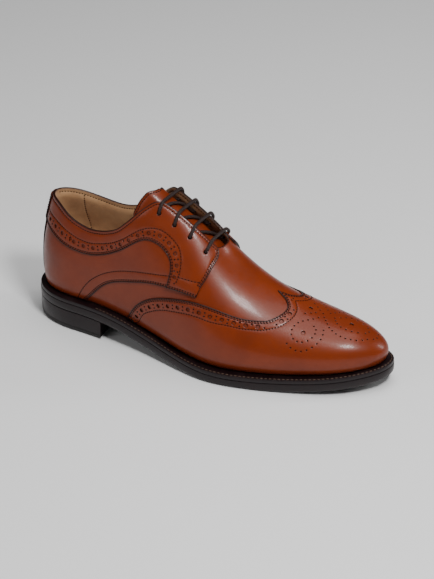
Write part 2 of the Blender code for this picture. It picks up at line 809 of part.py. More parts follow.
def quarter(name, side):
    """One quarter with its lace facing and collar band as a step in the same sheet."""
    top = opening_edge(side)
    low = smooth_line(heights(QUARTER_LOW, side))
    front = smooth_line(ridge_rows(QUARTER_FRONT, side))
    seam_turn = 0.3
    back_low = feather(seam_turn, QUARTER_LOW[0][0], side, QUARTER_LOW[0][1])
    seam = smooth_line(flat([seam_turn] * 3, [COLLAR[0][1], 40.0, QUARTER_LOW[0][1]], side))
    loop = chain(seam, back_low, low, front, top[::-1][:-1])
    neck = smooth_line(heights(((seam_turn, SWAN_NECK[0][1]),) + SWAN_NECK[1:], side), 5.0)
    along = np.gradient(neck, axis=0)
    normal = np.stack([-along[:, 1], along[:, 0]], -1) * (-side)
    normal /= np.linalg.norm(normal, axis=1, keepdims=True)
    upper_neck = neck + normal * STEP_WIDTH
    step_low = neck[1:-1]
    step_high = upper_neck[1:-1]
    area = chain(upper_neck, front, top[::-1])

    def outer(plane):
        raised = inside(plane, area)
        near = np.linalg.norm(plane[:, None] - step_high[None], axis=-1).min(1) < 0.02
        below = np.linalg.norm(plane[:, None] - step_low[None], axis=-1).min(1) < 0.02
        edge = np.linalg.norm(plane[:, None] - top[None], axis=-1).min(1) < 0.02
        edge |= np.linalg.norm(plane[:, None] - front[None], axis=-1).min(1) < 0.02
        return np.where((raised | near | edge) & ~below, FACING_OUT, OVERLAY_OUT)

    leather(name, [loop] + eyelet_rings(side), OVERLAY_IN, outer, "quarter", (step_low, step_high))


quarter("quarter_lateral", -1)
quarter("quarter_medial", 1)

# back strap over the seam at the heel
strap_side = np.concatenate([smooth_line(heights(part, -1)) for part in (STRAP[1:4], STRAP[4:6])])
strap_top = heights(STRAP[-1:], -1)
strap_loop = chain(heights(STRAP[:1], -1), strap_side, strap_top, mirrored(strap_side))
steps = [heights((row, (0.0, row[1])), -1) for row in STRAP[3:5]]
steps = [chain(line, mirrored(line)) for line in steps]


def strap_rise(plane):
    height = full_arc(0.0) - np.hypot(plane[:, 0] - HEEL_CENTRE, plane[:, 1])
    return np.where(height > STRAP_STEP, SKIN, 0.0)


leather("back_strap", [strap_loop], lambda plane: STRAP_IN + strap_rise(plane),
        lambda plane: STRAP_IN + SKIN + strap_rise(plane), "strap", steps)

# tongue under the facings, clear of the slanted runs of the lace
tongue_side = smooth_line(ridge_rows(TONGUE, -1))
tongue_inner = mirrored(tongue_side)
tongue_inner[:, 0] += (np.interp(np.abs(tongue_inner[:, 1]), *zip(*TONGUE_FORWARD))
                       * np.clip((TONGUE_FREE - tongue_inner[:, 0]) / TONGUE_BLEND, 0, 1))
tongue_loop = chain(tongue_side, tongue_inner)
leather("tongue", [tongue_loop], -TONGUE_THICK, 0.0, "tongue", (), tongue_lift)

# layers of the sole
FEATHER = outline(MEAN_TUCK, upper_width, HEEL_MARGIN, LENGTH - TOE_MARGIN)


def seat_low(x):
    return seat(x) - WELT_THICK


def sole_top(x):
    return seat_low(x) - SHEET_GAP


def sole_low(x):
    return np.maximum(seat(x) - SOLE_THICK, 0.0)


def heel_top(x):
    return seat(x) - SOLE_THICK - SHEET_GAP


def level(height):
    return lambda x: np.full(len(x), float(height))


plate("insole", [inward(FEATHER, INSOLE_INSET)], lambda x: seat(x) + SHEET_GAP + INSOLE_THICK,
      lambda x: seat(x) + SHEET_GAP, ((0.3, 0.0), (0.0, 0.3), (0.5, 1.0)), "insole")
plate("welt", [inward(OUTLINE, 0.3), inward(FEATHER, WELT_INNER)], seat, seat_low,
      ((0.2, 0.0), (0.0, 0.6), (0.6, 1.0)), "welt")
plate("outsole", [OUTLINE], sole_top, sole_low,
      ((0.9, 0.0), (0.1, 0.2), (0.0, 0.85), (0.3, 1.0)), "outsole")
HEEL = cut_heel(inward(OUTLINE, 0.2), HEEL_LENGTH)
plate("heel_stack", [HEEL], heel_top, level(TOP_PIECE), ((0.3, 0.0), (0.1, 0.5), (0.0, 1.0)), "heel")
plate("heel_top_piece", [inward(HEEL, 0.3)], level(TOP_PIECE), level(0.0),
      ((0.7, 0.0), (0.1, 0.3), (0.0, 0.92), (0.2, 1.0)), "top_piece")

tube("lace", lace_path(), LACE_RADIUS, "lace")
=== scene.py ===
import math

import bpy
import numpy as np
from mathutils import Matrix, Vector
from mathutils.geometry import delaunay_2d_cdt
from mathutils.kdtree import KDTree


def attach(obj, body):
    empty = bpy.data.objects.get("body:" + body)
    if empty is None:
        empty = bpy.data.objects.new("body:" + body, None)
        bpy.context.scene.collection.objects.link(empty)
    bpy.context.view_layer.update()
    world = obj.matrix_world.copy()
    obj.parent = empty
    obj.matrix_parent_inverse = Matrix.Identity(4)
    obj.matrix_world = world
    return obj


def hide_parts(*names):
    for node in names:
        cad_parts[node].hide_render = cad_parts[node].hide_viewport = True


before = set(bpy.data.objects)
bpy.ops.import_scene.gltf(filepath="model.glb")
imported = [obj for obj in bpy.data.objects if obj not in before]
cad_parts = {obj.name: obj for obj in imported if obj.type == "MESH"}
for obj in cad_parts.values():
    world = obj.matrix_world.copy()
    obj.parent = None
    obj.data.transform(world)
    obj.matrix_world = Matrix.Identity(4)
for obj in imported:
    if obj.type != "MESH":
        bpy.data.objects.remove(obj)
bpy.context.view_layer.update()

mm = 0.001

# the shoe last: one row per section, the same as in the CAD
shoeLast = {
    # x, lateral width, medial width, seat height, welt margin, tuck, ridge, roundness, bulge height
    "rows": (
        (0, 34.4, 33.4, 27.0, 3.7, 1.6, 108.0, 2.13, 14.0),
        (40, 32.9, 32.5, 27.0, 3.5, 3.4, 115.0, 2.13, 14.4),
        (80, 35.2, 31.4, 25.2, 3.0, 4.0, 118.0, 2.18, 15.4),
        (115, 39.6, 31.6, 18.2, 3.2, 5.2, 104.0, 1.98, 14.6),
        (145, 46.8, 36.6, 12.7, 3.8, 5.3, 88.5, 1.90, 13.4),
        (172, 52.2, 43.8, 10.1, 4.6, 5.1, 65.5, 1.90, 12.2),
        (200, 50.6, 45.9, 9.9, 5.1, 4.5, 47.0, 1.86, 11.0),
        (230, 44.9, 44.4, 11.2, 5.2, 4.1, 33.9, 2.02, 9.9),
        (258, 41.2, 41.2, 13.7, 5.2, 3.9, 28.2, 2.18, 9.0),
        (282, 38.6, 36.0, 17.1, 5.1, 3.4, 26.4, 2.24, 8.0),
        (302, 33.2, 32.5, 20.1, 5.0, 2.2, 22.3, 2.29, 7.0),
    ),
    "length": 302.0,
    "toeSwing": 18.4,
    "swingStart": 60.0,
    "heelStart": 45.0,
    "heelRound": 2.12,
    "toeStart": 215.0,
    "toeRound": 2.24,
    "ridgeRound": 2.15,
    "heelCentre": 40.0,
    "toeCentre": 232.0,
    "heelTopRound": 1.85,
    # the top of the heel draws in towards the ankle: x, share of the half width
    "ankle": ((0, 0.42), (20, 0.4), (30, 0.31), (40, 0.235), (52, 0.18), (64, 0.165), (78, 0.115), (92, 0.03),
              (110, 0)),
    "ankleLow": 60.0,
    "ankleHigh": 106.0,
}


def spline(xs, ys):
    xs = np.array(xs, float)
    ys = np.array(ys, float)
    count = len(xs)
    step = np.diff(xs)
    matrix = np.zeros((count, count))
    right = np.zeros(count)
    matrix[0, 0] = matrix[-1, -1] = 1.0
    for i in range(1, count - 1):
        matrix[i, i - 1] = step[i - 1]
        matrix[i, i] = 2 * (step[i - 1] + step[i])
        matrix[i, i + 1] = step[i]
        right[i] = 3 * ((ys[i + 1] - ys[i]) / step[i] - (ys[i] - ys[i - 1]) / step[i - 1])
    bend = np.linalg.solve(matrix, right)

    def value(x):
        x = np.clip(np.asarray(x, float), xs[0], xs[-1])
        i = np.clip(np.searchsorted(xs, x) - 1, 0, count - 2)
        d = x - xs[i]
        slope = (ys[i + 1] - ys[i]) / step[i] - step[i] * (2 * bend[i] + bend[i + 1]) / 3
        return ys[i] + slope * d + bend[i] * d * d + (bend[i + 1] - bend[i]) / (3 * step[i]) * d ** 3

    return value


columns = list(zip(*shoeLast["rows"]))
lateralWidth, medialWidth, seat, margin, tuck, ridge, roundness, bulge = [
    spline(columns[0], column) for column in columns[1:]]
lastLength = shoeLast["length"]
heelCentre = shoeLast["heelCentre"]
toeCentre = shoeLast["toeCentre"]
heelMargin = float(margin(0.0))
toeMargin = float(margin(lastLength))


def endFactor(x, heelInset, toeInset, heelPower, toePower):
    toe = np.clip((x - shoeLast["toeStart"]) / (lastLength - toeInset - shoeLast["toeStart"]), 0, 1)
    heel = np.clip((shoeLast["heelStart"] - x) / (shoeLast["heelStart"] - heelInset), 0, 1)
    return (1 - toe ** toePower) ** (1 / toePower) * (1 - heel ** heelPower) ** (1 / heelPower)


def axis(x):
    start = shoeLast["swingStart"]
    return shoeLast["toeSwing"] * np.clip((x - start) / (lastLength - start), 0, 1) ** 2


def soleWidth(x, side):
    width = np.where(side < 0, lateralWidth(x), medialWidth(x))
    return width * endFactor(x, 0.0, 0.0, shoeLast["heelRound"], shoeLast["toeRound"])


def upperWidth(x, side):
    width = np.where(side < 0, lateralWidth(x), medialWidth(x)) - margin(x)
    return width * endFactor(x, heelMargin, toeMargin, shoeLast["heelRound"], shoeLast["toeRound"])


def topHeight(x, y):
    off = y - axis(x)
    rho = np.clip(np.abs(off) / np.maximum(upperWidth(x, off), 1e-6), 0, 1)
    power = roundness(x)
    rise = ridge(x) * endFactor(x, heelMargin, toeMargin, shoeLast["heelTopRound"], shoeLast["ridgeRound"])
    return seat(x) + bulge(x) + rise * (1 - rho ** power) ** (1 / power)


def footOf(station):
    heel = np.clip(station / heelCentre, 0, 1)
    toe = np.clip((station - toeCentre) / (lastLength - toeCentre), 0, 1)
    centre = np.clip(station, heelCentre, toeCentre)
    return centre, axis(centre), math.pi / 2 * (2 - heel - toe)


def reach(station, side, width, first, last):
    cx, cy, heading = footOf(station)
    dx, dy = np.cos(heading), np.sin(heading) * side
    near = np.zeros_like(cx)
    far = near + 140.0
    for _ in range(46):
        mid = (near + far) / 2
        x = cx + mid * dx
        off = cy + mid * dy - axis(x)
        inside = (x > first) & (x < last) & (np.abs(off) < width(x, off))
        near = np.where(inside, mid, near)
        far = np.where(inside, far, mid)
    return near


ankleShare = spline(*zip(*shoeLast["ankle"]))


def drawnIn(points):
    low, high = shoeLast["ankleLow"], shoeLast["ankleHigh"]
    rise = np.clip((points[..., 2] - low) / (high - low), 0, 1)
    share = ankleShare(points[..., 0]) * rise * rise * (3 - 2 * rise)
    middle = axis(points[..., 0])
    moved = points.copy()
    moved[..., 1] = middle + (points[..., 1] - middle) * (1 - share)
    return moved


def lastSide(side, stations=454, levels=240, low=40, high=300):
    s = np.linspace(0.0, lastLength, stations)
    cx, cy, heading = footOf(s)
    dx, dy = np.cos(heading)[:, None], np.sin(heading)[:, None] * side
    far = reach(s, side, upperWidth, heelMargin, lastLength - toeMargin)[:, None]
    edge = cx[:, None] + far * dx
    rise = np.linspace(0, 1, low, endpoint=False)[None, :]
    r = far - tuck(edge) * (1 - rise) ** 2
    lower = np.stack([cx[:, None] + r * dx, cy[:, None] + r * dy, seat(edge) + bulge(edge) * rise], -1)
    turn = np.linspace(0, math.pi / 2, high)[None, :]
    r = far * np.cos(turn) * (1 - 1e-9)
    x, y = cx[:, None] + r * dx, cy[:, None] + r * dy
    points = drawnIn(np.concatenate([lower, np.stack([x, y, topHeight(x, y)], -1)], 1))
    run = np.linalg.norm(np.diff(points, axis=1), axis=2)
    arc = np.concatenate([np.zeros((stations, 1)), np.cumsum(run, 1)], 1)
    part = np.linspace(0, 1, levels)
    grid = np.zeros((stations, levels, 3))
    for i in range(stations):
        for k in range(3):
            grid[i, :, k] = np.interp(part * arc[i, -1], arc[i], points[i, :, k])
    return {"s": s, "arc": arc[:, -1], "grid": grid, "levels": levels}


lastSides = {-1: lastSide(-1), 1: lastSide(1)}
print("last ready")


def sidePoint(side, station, part):
    data = lastSides[side]
    s, g = data["s"], data["grid"]
    i = np.clip(np.searchsorted(s, station, side="right") - 1, 0, len(s) - 2)
    a = ((station - s[i]) / (s[i + 1] - s[i]))[..., None]
    v = np.clip(part, 0, 1) * (data["levels"] - 1)
    j = np.clip(v.astype(int), 0, data["levels"] - 2)
    b = (v - j)[..., None]
    back = g[i, j] * (1 - b) + g[i, j + 1] * b
    front = g[i + 1, j] * (1 - b) + g[i + 1, j + 1] * b
    return back * (1 - a) + front * a


def fullArc(station):
    return np.interp(station, lastSides[-1]["s"], lastSides[-1]["arc"])


# the unrolled plane: sections side by side along x, with a fan of sections at each end
def flat(station, height, side):
    station = np.asarray(station, float)
    fromRidge = fullArc(station) - np.asarray(height, float)
    cx, _, heading = footOf(station)
    return np.stack([cx + fromRidge * np.cos(heading), side * fromRidge * np.sin(heading)], -1)


def unflat(plane):
    p, q = plane[..., 0], plane[..., 1]
    centre = np.clip(p, heelCentre, toeCentre)
    fromRidge = np.hypot(p - centre, q)
    turn = np.arctan2(np.abs(q), np.abs(p - centre)) / (math.pi / 2)
    heel = np.where(p < heelCentre, heelCentre * turn, heelCentre)
    toe = np.where(p > toeCentre, (lastLength - toeCentre) * (1 - turn), 0.0)
    station = np.where(p < heelCentre, heel, centre + toe)
    return station, fromRidge


def onSkin(plane):
    plane = np.asarray(plane, float)
    station, fromRidge = unflat(plane)
    part = 1 - fromRidge / fullArc(station)
    outer = sidePoint(-1, station, part)
    inner = sidePoint(1, station, part)
    return np.where((plane[..., 1] < 0)[..., None], outer, inner)


def normalOf(surface, plane):
    step = 0.8
    along = surface(plane + [step, 0]) - surface(plane - [step, 0])
    across = surface(plane + [0, step]) - surface(plane - [0, step])
    normal = np.cross(along, across)
    return normal / np.linalg.norm(normal, axis=-1, keepdims=True)


def skinNormal(plane):
    return normalOf(onSkin, plane)


def lift(plane, offset):
    plane = np.asarray(plane, float)
    return onSkin(plane) + skinNormal(plane) * np.asarray(offset, float)[..., None]


def metric(plane):
    step = 0.5
    dp = onSkin(plane + [step, 0]) - onSkin(plane - [step, 0])
    dq = onSkin(plane + [0, step]) - onSkin(plane - [0, step])
    e, f, g = (dp * dp).sum(-1), (dp * dq).sum(-1), (dq * dq).sum(-1)
    return e / (4 * step * step), f / (4 * step * step), g / (4 * step * step)


def runOf(points):
    return np.concatenate([[0], np.cumsum(np.linalg.norm(np.diff(points, axis=0), axis=1))])


def readAt(wanted, run, points):
    return np.stack([np.interp(wanted, run, column) for column in points.T], -1)


def resample(line, spacing, start=0.0):
    # points at an even spacing, measured on the leather
    run = runOf(onSkin(line))
    span = run[-1] - start
    count = max(2, int(round(span / spacing)) + 1)
    return readAt(start + np.linspace(0, span, count), run, line)


def smoothLine(points, spacing=1.2):
    points = np.asarray(points, float)
    run = runOf(points)
    fine = np.linspace(0, run[-1], 1500)
    return resample(np.stack([spline(run, column)(fine) for column in points.T], -1), spacing)


def offsetLine(line, distance, closed=False):
    # a line moved to the left of its travel by true millimetres on the leather
    if closed:
        along = np.roll(line, -1, 0) - np.roll(line, 1, 0)
    else:
        along = np.gradient(line, axis=0)
    e, f, g = metric(line)
    det = np.maximum(e * g - f * f, 1e-9)
    left = np.stack([-along[:, 1], along[:, 0]], -1)
    nx = (g * left[:, 0] - f * left[:, 1]) / det
    ny = (e * left[:, 1] - f * left[:, 0]) / det
    size = np.sqrt(np.maximum(left[:, 0] * nx + left[:, 1] * ny, 1e-12))
    return line + np.stack([nx / size, ny / size], -1) * np.asarray(distance, float)[..., None]


def circle(centre, radius, count):
    # a true circle on the leather, drawn in the unrolled plane
    centre = np.asarray(centre, float)
    e, f, g = (float(v) for v in metric(centre))
    values, vectors = np.linalg.eigh(np.array([[e, f], [f, g]]))
    turn = np.arange(count) / count * 2 * math.pi
    unit = np.stack([np.cos(turn), np.sin(turn)], -1) * radius
    return centre + unit @ (vectors / np.sqrt(values)) @ vectors.T


def heights(rows, side):
    # a smooth line through stations and heights above the feather line
    rows = np.asarray(rows, float)
    if len(rows) < 3:
        return flat(rows[:, 0], rows[:, 1], side)
    run = runOf(rows)
    fine = np.linspace(0, run[-1], max(2, int(run[-1] / 1.5)))
    station, height = (spline(run, column)(fine) for column in rows.T)
    return flat(station, height, side)


def ridgeRows(rows, side):
    s, d = np.array(rows, float).T
    return np.stack([s, side * d], -1)


def mirrored(points):
    return np.asarray(points)[::-1] * [1, -1]


def chain(*lines):
    points = np.concatenate(lines)
    keep = [points[0]]
    for point in points[1:]:
        if np.linalg.norm(point - keep[-1]) > 0.05:
            keep.append(point)
    if np.linalg.norm(keep[0] - keep[-1]) < 0.05:
        keep.pop()
    return np.array(keep)


def insideLoop(points, loop):
    result = np.zeros(len(points), bool)
    x1, y1 = loop[:, 0], loop[:, 1]
    x2, y2 = np.roll(x1, -1), np.roll(y1, -1)
    rise = np.where(np.abs(y2 - y1) < 1e-12, 1e-12, y2 - y1)
    for start in range(0, len(points), 4000):
        x, y = points[start:start + 4000, 0][:, None], points[start:start + 4000, 1][:, None]
        crosses = ((y1 > y) != (y2 > y)) & (x < (x2 - x1) * (y - y1) / rise + x1)
        result[start:start + 4000] = crosses.sum(1) % 2 == 1
    return result


def insideRegion(points, outer, cuts):
    good = insideLoop(points, outer)
    for cut in cuts:
        good &= ~insideLoop(points, cut)
    return good


def signedArea(loop):
    ahead = np.roll(loop, -1, 0)
    return 0.5 * np.sum(loop[:, 0] * ahead[:, 1] - ahead[:, 0] * loop[:, 1])


def treeOf(points):
    tree = KDTree(len(points))
    for i, point in enumerate(points):
        tree.insert(point, i)
    tree.balance()
    return tree


def distances(points, tree):
    return np.array([tree.find(point)[2] for point in points]) if len(points) else np.zeros(0)


def skinGap(points, others):
    return distances(onSkin(points), treeOf(onSkin(others)))


def flatGap(points, others):
    level = ((0, 0), (0, 1))
    return distances(np.pad(points, level), treeOf(np.pad(others, level)))


# inner points of every leather panel
leatherGrid = {"spacing": 1.7, "heelStep": 0.78, "halfWidth": 150, "heelFirst": 40}


def gridPoints():
    step = leatherGrid["spacing"]
    wide = leatherGrid["halfWidth"]
    rows = []
    for i, p in enumerate(np.arange(heelCentre, lastLength + 1, step)):
        for q in np.arange(-wide, wide, step) + (step / 2 if i % 2 else 0):
            rows.append((p, q))
    for i, s in enumerate(np.arange(0.0, heelCentre - step * 0.4, step * leatherGrid["heelStep"])):
        total = float(fullArc(s))
        for fromRidge in np.arange(leatherGrid["heelFirst"], total, step) + (step / 2 if i % 2 else 0):
            for side in (-1, 1):
                rows.append(tuple(flat(s, total - fromRidge, side)))
    points = np.unique(np.round(np.array(rows), 4), axis=0)
    station, fromRidge = unflat(points)
    return points[fromRidge < fullArc(station) - 0.2]


sharedGrid = gridPoints()
origin = np.array([lastLength / 2, 0.0, 0.0])


def outlineOf(width, first, last, inset=0.0, count=(40, 130, 70)):
    # a closed loop seen from above: lateral side from heel to toe, then the medial side back
    heelCount, middleCount, toeCount = count
    along = np.concatenate([np.linspace(0, heelCentre, heelCount)[:-1],
                            np.linspace(heelCentre, toeCentre, middleCount),
                            np.linspace(toeCentre, lastLength, toeCount)[1:]])
    loops = []
    for side in (-1, 1):
        cx, cy, heading = footOf(along)
        r = reach(along, side, width, first, last) - inset
        xy = np.stack([cx + r * np.cos(heading), cy + side * r * np.sin(heading)], -1)
        loops.append(xy if side < 0 else xy[::-1][1:-1])
    return np.concatenate(loops)


coarseOutline = outlineOf(soleWidth, 0.0, lastLength, count=(8, 19, 11))
origin[1] = (coarseOutline[:, 1].min() + coarseOutline[:, 1].max()) / 2


def makeMesh(name, points, faces, material):
    mesh = bpy.data.meshes.new(name)
    mesh.from_pydata([tuple(p) for p in (np.asarray(points) - origin) * mm], [], faces)
    mesh.update()
    piece = bpy.data.objects.new(name, mesh)
    bpy.context.scene.collection.objects.link(piece)
    mesh.materials.append(material)
    mesh.polygons.foreach_set("use_smooth", np.ones(len(mesh.polygons), bool))
    return piece


def setAttribute(piece, name, values):
    attribute = piece.data.attributes.new(name, "FLOAT", "POINT")
    attribute.data.foreach_set("value", np.asarray(values, np.float32))


def triangulate(loops, lines, inner):
    points, edges = [], []
    for index, line in enumerate(list(loops) + list(lines)):
        start = len(points)
        points.extend(line)
        edges += [(start + i, start + i + 1) for i in range(len(line) - 1)]
        if index < len(loops):
            edges.append((start + len(line) - 1, start))
    everything = np.concatenate([np.array(points), inner]) if len(inner) else np.array(points)
    result = delaunay_2d_cdt([Vector(p) for p in everything], edges, [], 0, 1e-5)
    found = np.array([tuple(v) for v in result[0]])
    triangles = np.array([tuple(f) for f in result[2]])
    source = np.array([o[0] if len(o) else -1 for o in result[3]])
    return found, triangles, source, len(points)


def upward(found, triangles, least):
    # triangles turned to face upward, without slivers
    a, b, c = (found[triangles[:, k]] for k in range(3))
    size = (b[:, 0] - a[:, 0]) * (c[:, 1] - a[:, 1]) - (b[:, 1] - a[:, 1]) * (c[:, 0] - a[:, 0])
    triangles[size < 0] = triangles[size < 0][:, ::-1]
    return triangles[np.abs(size) > least]


def rimEdges(triangles):
    directed = set()
    for a, b, c in triangles.tolist():
        directed.update(((a, b), (b, c), (c, a)))
    return [edge for edge in directed if (edge[1], edge[0]) not in directed]


# nodes of materials and of geometry trees
def wire(tree, node, inputs):
    # each input is a value, or another node's output to link
    for key, value in inputs.items():
        if isinstance(value, bpy.types.NodeSocket):
            tree.links.new(value, node.inputs[key])
        else:
            node.inputs[key].default_value = value
    return node


def addNode(tree, kind, inputs=None, **settings):
    node = tree.nodes.new(kind)
    for name, value in settings.items():
        setattr(node, name, value)
    return wire(tree, node, inputs or {})


def newMaterial(name):
    material = bpy.data.materials.new(name)
    material.use_nodes = True
    return material, material.node_tree, material.node_tree.nodes["Principled BSDF"]


def objectPlace(tree):
    return addNode(tree, "ShaderNodeTexCoord").outputs["Object"]


def noiseOf(tree, scale, detail, rough, stretch=None):
    place = objectPlace(tree)
    if stretch:
        place = addNode(tree, "ShaderNodeMapping", {"Vector": place, "Scale": stretch}).outputs["Vector"]
    noise = addNode(tree, "ShaderNodeTexNoise",
                    {"Vector": place, "Scale": scale, "Detail": detail, "Roughness": rough})
    return noise.outputs["Fac"]


def spread(tree, value, low, high, outLow=0.0, outHigh=1.0):
    node = addNode(tree, "ShaderNodeMapRange",
                   {"Value": value, "From Min": low, "From Max": high, "To Min": outLow, "To Max": outHigh},
                   interpolation_type="SMOOTHSTEP")
    return node.outputs["Result"]


def mathOf(tree, kind, a, b=0.0):
    return addNode(tree, "ShaderNodeMath", {0: a, 1: b}, operation=kind).outputs[0]


def mixColour(tree, factor, a, b):
    a, b = (value + (1.0,) if isinstance(value, tuple) else value for value in (a, b))
    return addNode(tree, "ShaderNodeMix", {0: factor, 6: a, 7: b}, data_type="RGBA").outputs[2]


def attributeOf(tree, name):
    return addNode(tree, "ShaderNodeAttribute", attribute_name=name).outputs["Fac"]


def bumpOf(tree, height, distance):
    bump = addNode(tree, "ShaderNodeBump", {"Height": height, "Distance": distance, "Strength": 1.0})
    return bump.outputs["Normal"]


# smooth calf leather: warm tan, darker towards cut edges and punched holes (burnished edges plus painted
# shade) and along seams (painted shade in the stitch grooves)
calfLook = {"colour": (0.172, 0.0235, 0.0035), "deep": (0.112, 0.0135, 0.002), "edge": (0.020, 0.004, 0.002),
            "rough": 0.34, "specular": 0.26, "coat": 0.10, "coatRough": 0.12, "coatIor": 1.5, "grain": 1500.0,
            "grainDepth": 0.00003, "mottle": 34.0, "burnishAndShade": (0.25, 2.0), "burnishAndShadePower": 1.6,
            "seamReach": (0.1, 0.7), "seamShade": 0.5}


def calfLeather(name, look):
    material, tree, shader = newMaterial(name)
    cloud = noiseOf(tree, look["mottle"], 3.0, 0.5)
    patch = noiseOf(tree, look["mottle"] * 6.0, 4.0, 0.6)
    tone = mixColour(tree, spread(tree, cloud, 0.35, 0.7, 0.0, 0.45), look["colour"], look["deep"])
    tone = mixColour(tree, spread(tree, patch, 0.3, 0.75, 0.0, 0.25), tone, look["deep"])
    # burnished edges plus painted shade: the leather darkens towards cut edges and inside punched holes
    near = spread(tree, attributeOf(tree, "edgeDistance"), *look["burnishAndShade"], 1.0, 0.0)
    tone = mixColour(tree, mathOf(tree, "POWER", near, look["burnishAndShadePower"]), tone, look["edge"])
    # painted shade in the stitch grooves: the leather darkens along each row of stitches
    grooveShade = spread(tree, attributeOf(tree, "seamDistance"), *look["seamReach"], look["seamShade"], 0.0)
    pore = addNode(tree, "ShaderNodeTexVoronoi", {"Vector": objectPlace(tree), "Scale": look["grain"] * 0.62})
    pits = mathOf(tree, "MULTIPLY", pore.outputs["Distance"], 0.6)
    relief = mathOf(tree, "ADD", noiseOf(tree, look["grain"], 5.0, 0.62), pits)
    wire(tree, shader, {
        "Base Color": mixColour(tree, grooveShade, tone, look["edge"]),
        "Normal": bumpOf(tree, relief, look["grainDepth"]),
        "Roughness": spread(tree, patch, 0.2, 0.8, look["rough"] - 0.04, look["rough"] + 0.06),
        "Specular IOR Level": look["specular"],
        "Coat Weight": look["coat"],
        "Coat Roughness": look["coatRough"],
        "Coat IOR": look["coatIor"],
    })
    return material


liningLook = {"colour": (0.47, 0.265, 0.125), "deep": (0.35, 0.18, 0.08), "edge": (0.06, 0.02, 0.01),
              "rough": 0.72, "nap": 900.0}
sockLook = {"colour": (0.56, 0.33, 0.17), "deep": (0.47, 0.26, 0.13), "edge": (0.06, 0.02, 0.01),
            "rough": 0.5, "nap": 700.0}


def softLeather(name, look):
    material, tree, shader = newMaterial(name)
    cloud = noiseOf(tree, 55.0, 5.0, 0.6)
    tone = mixColour(tree, spread(tree, cloud, 0.35, 0.7), look["colour"], look["deep"])
    near = spread(tree, attributeOf(tree, "edgeDistance"), 0.1, 0.9, 0.8, 0.0)
    nap = noiseOf(tree, look["nap"], 6.0, 0.7)
    wire(tree, shader, {
        "Base Color": mixColour(tree, near, tone, look["edge"]),
        "Normal": bumpOf(tree, nap, 0.00009),
        "Roughness": spread(tree, nap, 0.3, 0.7, look["rough"] - 0.06, look["rough"] + 0.08),
        "Sheen Weight": 0.12,
        "Sheen Roughness": 0.5,
    })
    return material


soleLook = {"colour": (0.007, 0.0028, 0.0036), "lighterTone": (0.012, 0.0055, 0.006), "rough": 0.34, "specular": 0.3}
rubberLook = {"colour": (0.008, 0.006, 0.006), "lighterTone": (0.014, 0.011, 0.010), "rough": 0.5, "specular": 0.3}


def soleEdge(name, look):
    material, tree, shader = newMaterial(name)
    cloud = noiseOf(tree, 90.0, 5.0, 0.6)
    fibre = noiseOf(tree, 420.0, 5.0, 0.65, (1.0, 1.0, 4.0))
    wire(tree, shader, {
        "Base Color": mixColour(tree, spread(tree, cloud, 0.4, 0.75), look["colour"], look["lighterTone"]),
        "Normal": bumpOf(tree, fibre, 0.00012),
        "Roughness": spread(tree, cloud, 0.3, 0.8, look["rough"] - 0.06, look["rough"] + 0.12),
        "Specular IOR Level": look["specular"],
    })
    return material


threadLook = {"colour": (0.007, 0.002, 0.0015), "lighterTone": (0.014, 0.004, 0.003), "rough": 0.7, "specular": 0.12}
weltThreadLook = {"colour": (0.05, 0.028, 0.018), "lighterTone": (0.12, 0.075, 0.05), "rough": 0.6, "specular": 0.3}


def thread(name, look):
    material, tree, shader = newMaterial(name)
    wire(tree, shader, {
        "Base Color": mixColour(tree, noiseOf(tree, 500.0, 3.0, 0.6), look["colour"], look["lighterTone"]),
        "Normal": bumpOf(tree, noiseOf(tree, 3800.0, 2.0, 0.5), 0.00004),
        "Roughness": look["rough"],
        "Specular IOR Level": look["specular"],
    })
    return material


# the lace's colour lies darker in the hollows between the braid's strands, painted shade, and takes the
# lighter tone on the strand crowns
laceLook = {"colour": (0.011, 0.005, 0.004), "lighterTone": (0.024, 0.011, 0.009), "rough": 0.6, "specular": 0.3,
            "along": 210.0, "around": 6.0}


def braidedLace(name, look):
    material, tree, shader = newMaterial(name)
    place = addNode(tree, "ShaderNodeUVMap", uv_map="UVMap").outputs["UV"]
    parts = addNode(tree, "ShaderNodeSeparateXYZ", {0: place}).outputs
    along = mathOf(tree, "MULTIPLY", parts[0], look["along"])
    around = mathOf(tree, "MULTIPLY", parts[1], look["around"])
    waves = [mathOf(tree, "SINE", mathOf(tree, "MULTIPLY", mathOf(tree, kind, along, around), 2 * math.pi))
             for kind in ("ADD", "SUBTRACT")]
    weave = mathOf(tree, "MAXIMUM", *waves)
    wire(tree, shader, {
        # painted shade: darker in the hollows of the weave, lighter on its crowns
        "Base Color": mixColour(tree, spread(tree, weave, -0.2, 1.0), look["colour"], look["lighterTone"]),
        "Normal": bumpOf(tree, weave, 0.00014),
        "Roughness": look["rough"],
        "Specular IOR Level": look["specular"],
    })
    return material


calf = calfLeather("calfLeather", calfLook)
lining = softLeather("liningLeather", liningLook)
sockLeather = softLeather("sockLeather", sockLook)
edgeDark = soleEdge("soleEdgeDark", soleLook)
heelDark = soleEdge("heelEdgeDark", soleLook)
rubber = soleEdge("heelRubber", rubberLook)
threadDark = thread("waxedThread", threadLook)
weltThread = thread("weltThread", weltThreadLook)
laceBraid = braidedLace("waxedLace", laceLook)
print("materials ready")


# how edges, holes and stitch grooves are shaped, mm
# a shade is the distance from an edge that the leather is coloured by
farAway = 20.0
edgeRound = {
    # inset and drop of the loops along a cut edge
    "rows": ((0.0, 0.30), (0.22, 0.08), (0.55, 0.0)),
    # sides of a hole; inset, drop and shade of its rings
    "big": (18, ((0.0, 0.26, 0.0), (0.22, 0.05, 0.22), (0.52, 0.0, farAway))),
    "pin": (9, ((0.0, 0.2, 0.0), (0.2, 0.03, 0.22), (0.45, 0.0, farAway))),
    "pinUnder": 0.9,
    "holeInside": 0.93,
    "sliver": 2e-4,
}
groove = {"depth": 0.2, "half": 0.5, "lip": 0.02, "pucker": 0.12}
threadSizes = {"pitch": 2.3, "length": 1.55, "width": 0.9, "height": 0.5, "sunk": 0.05, "seed": 4}
sewnRows = []
punched = []


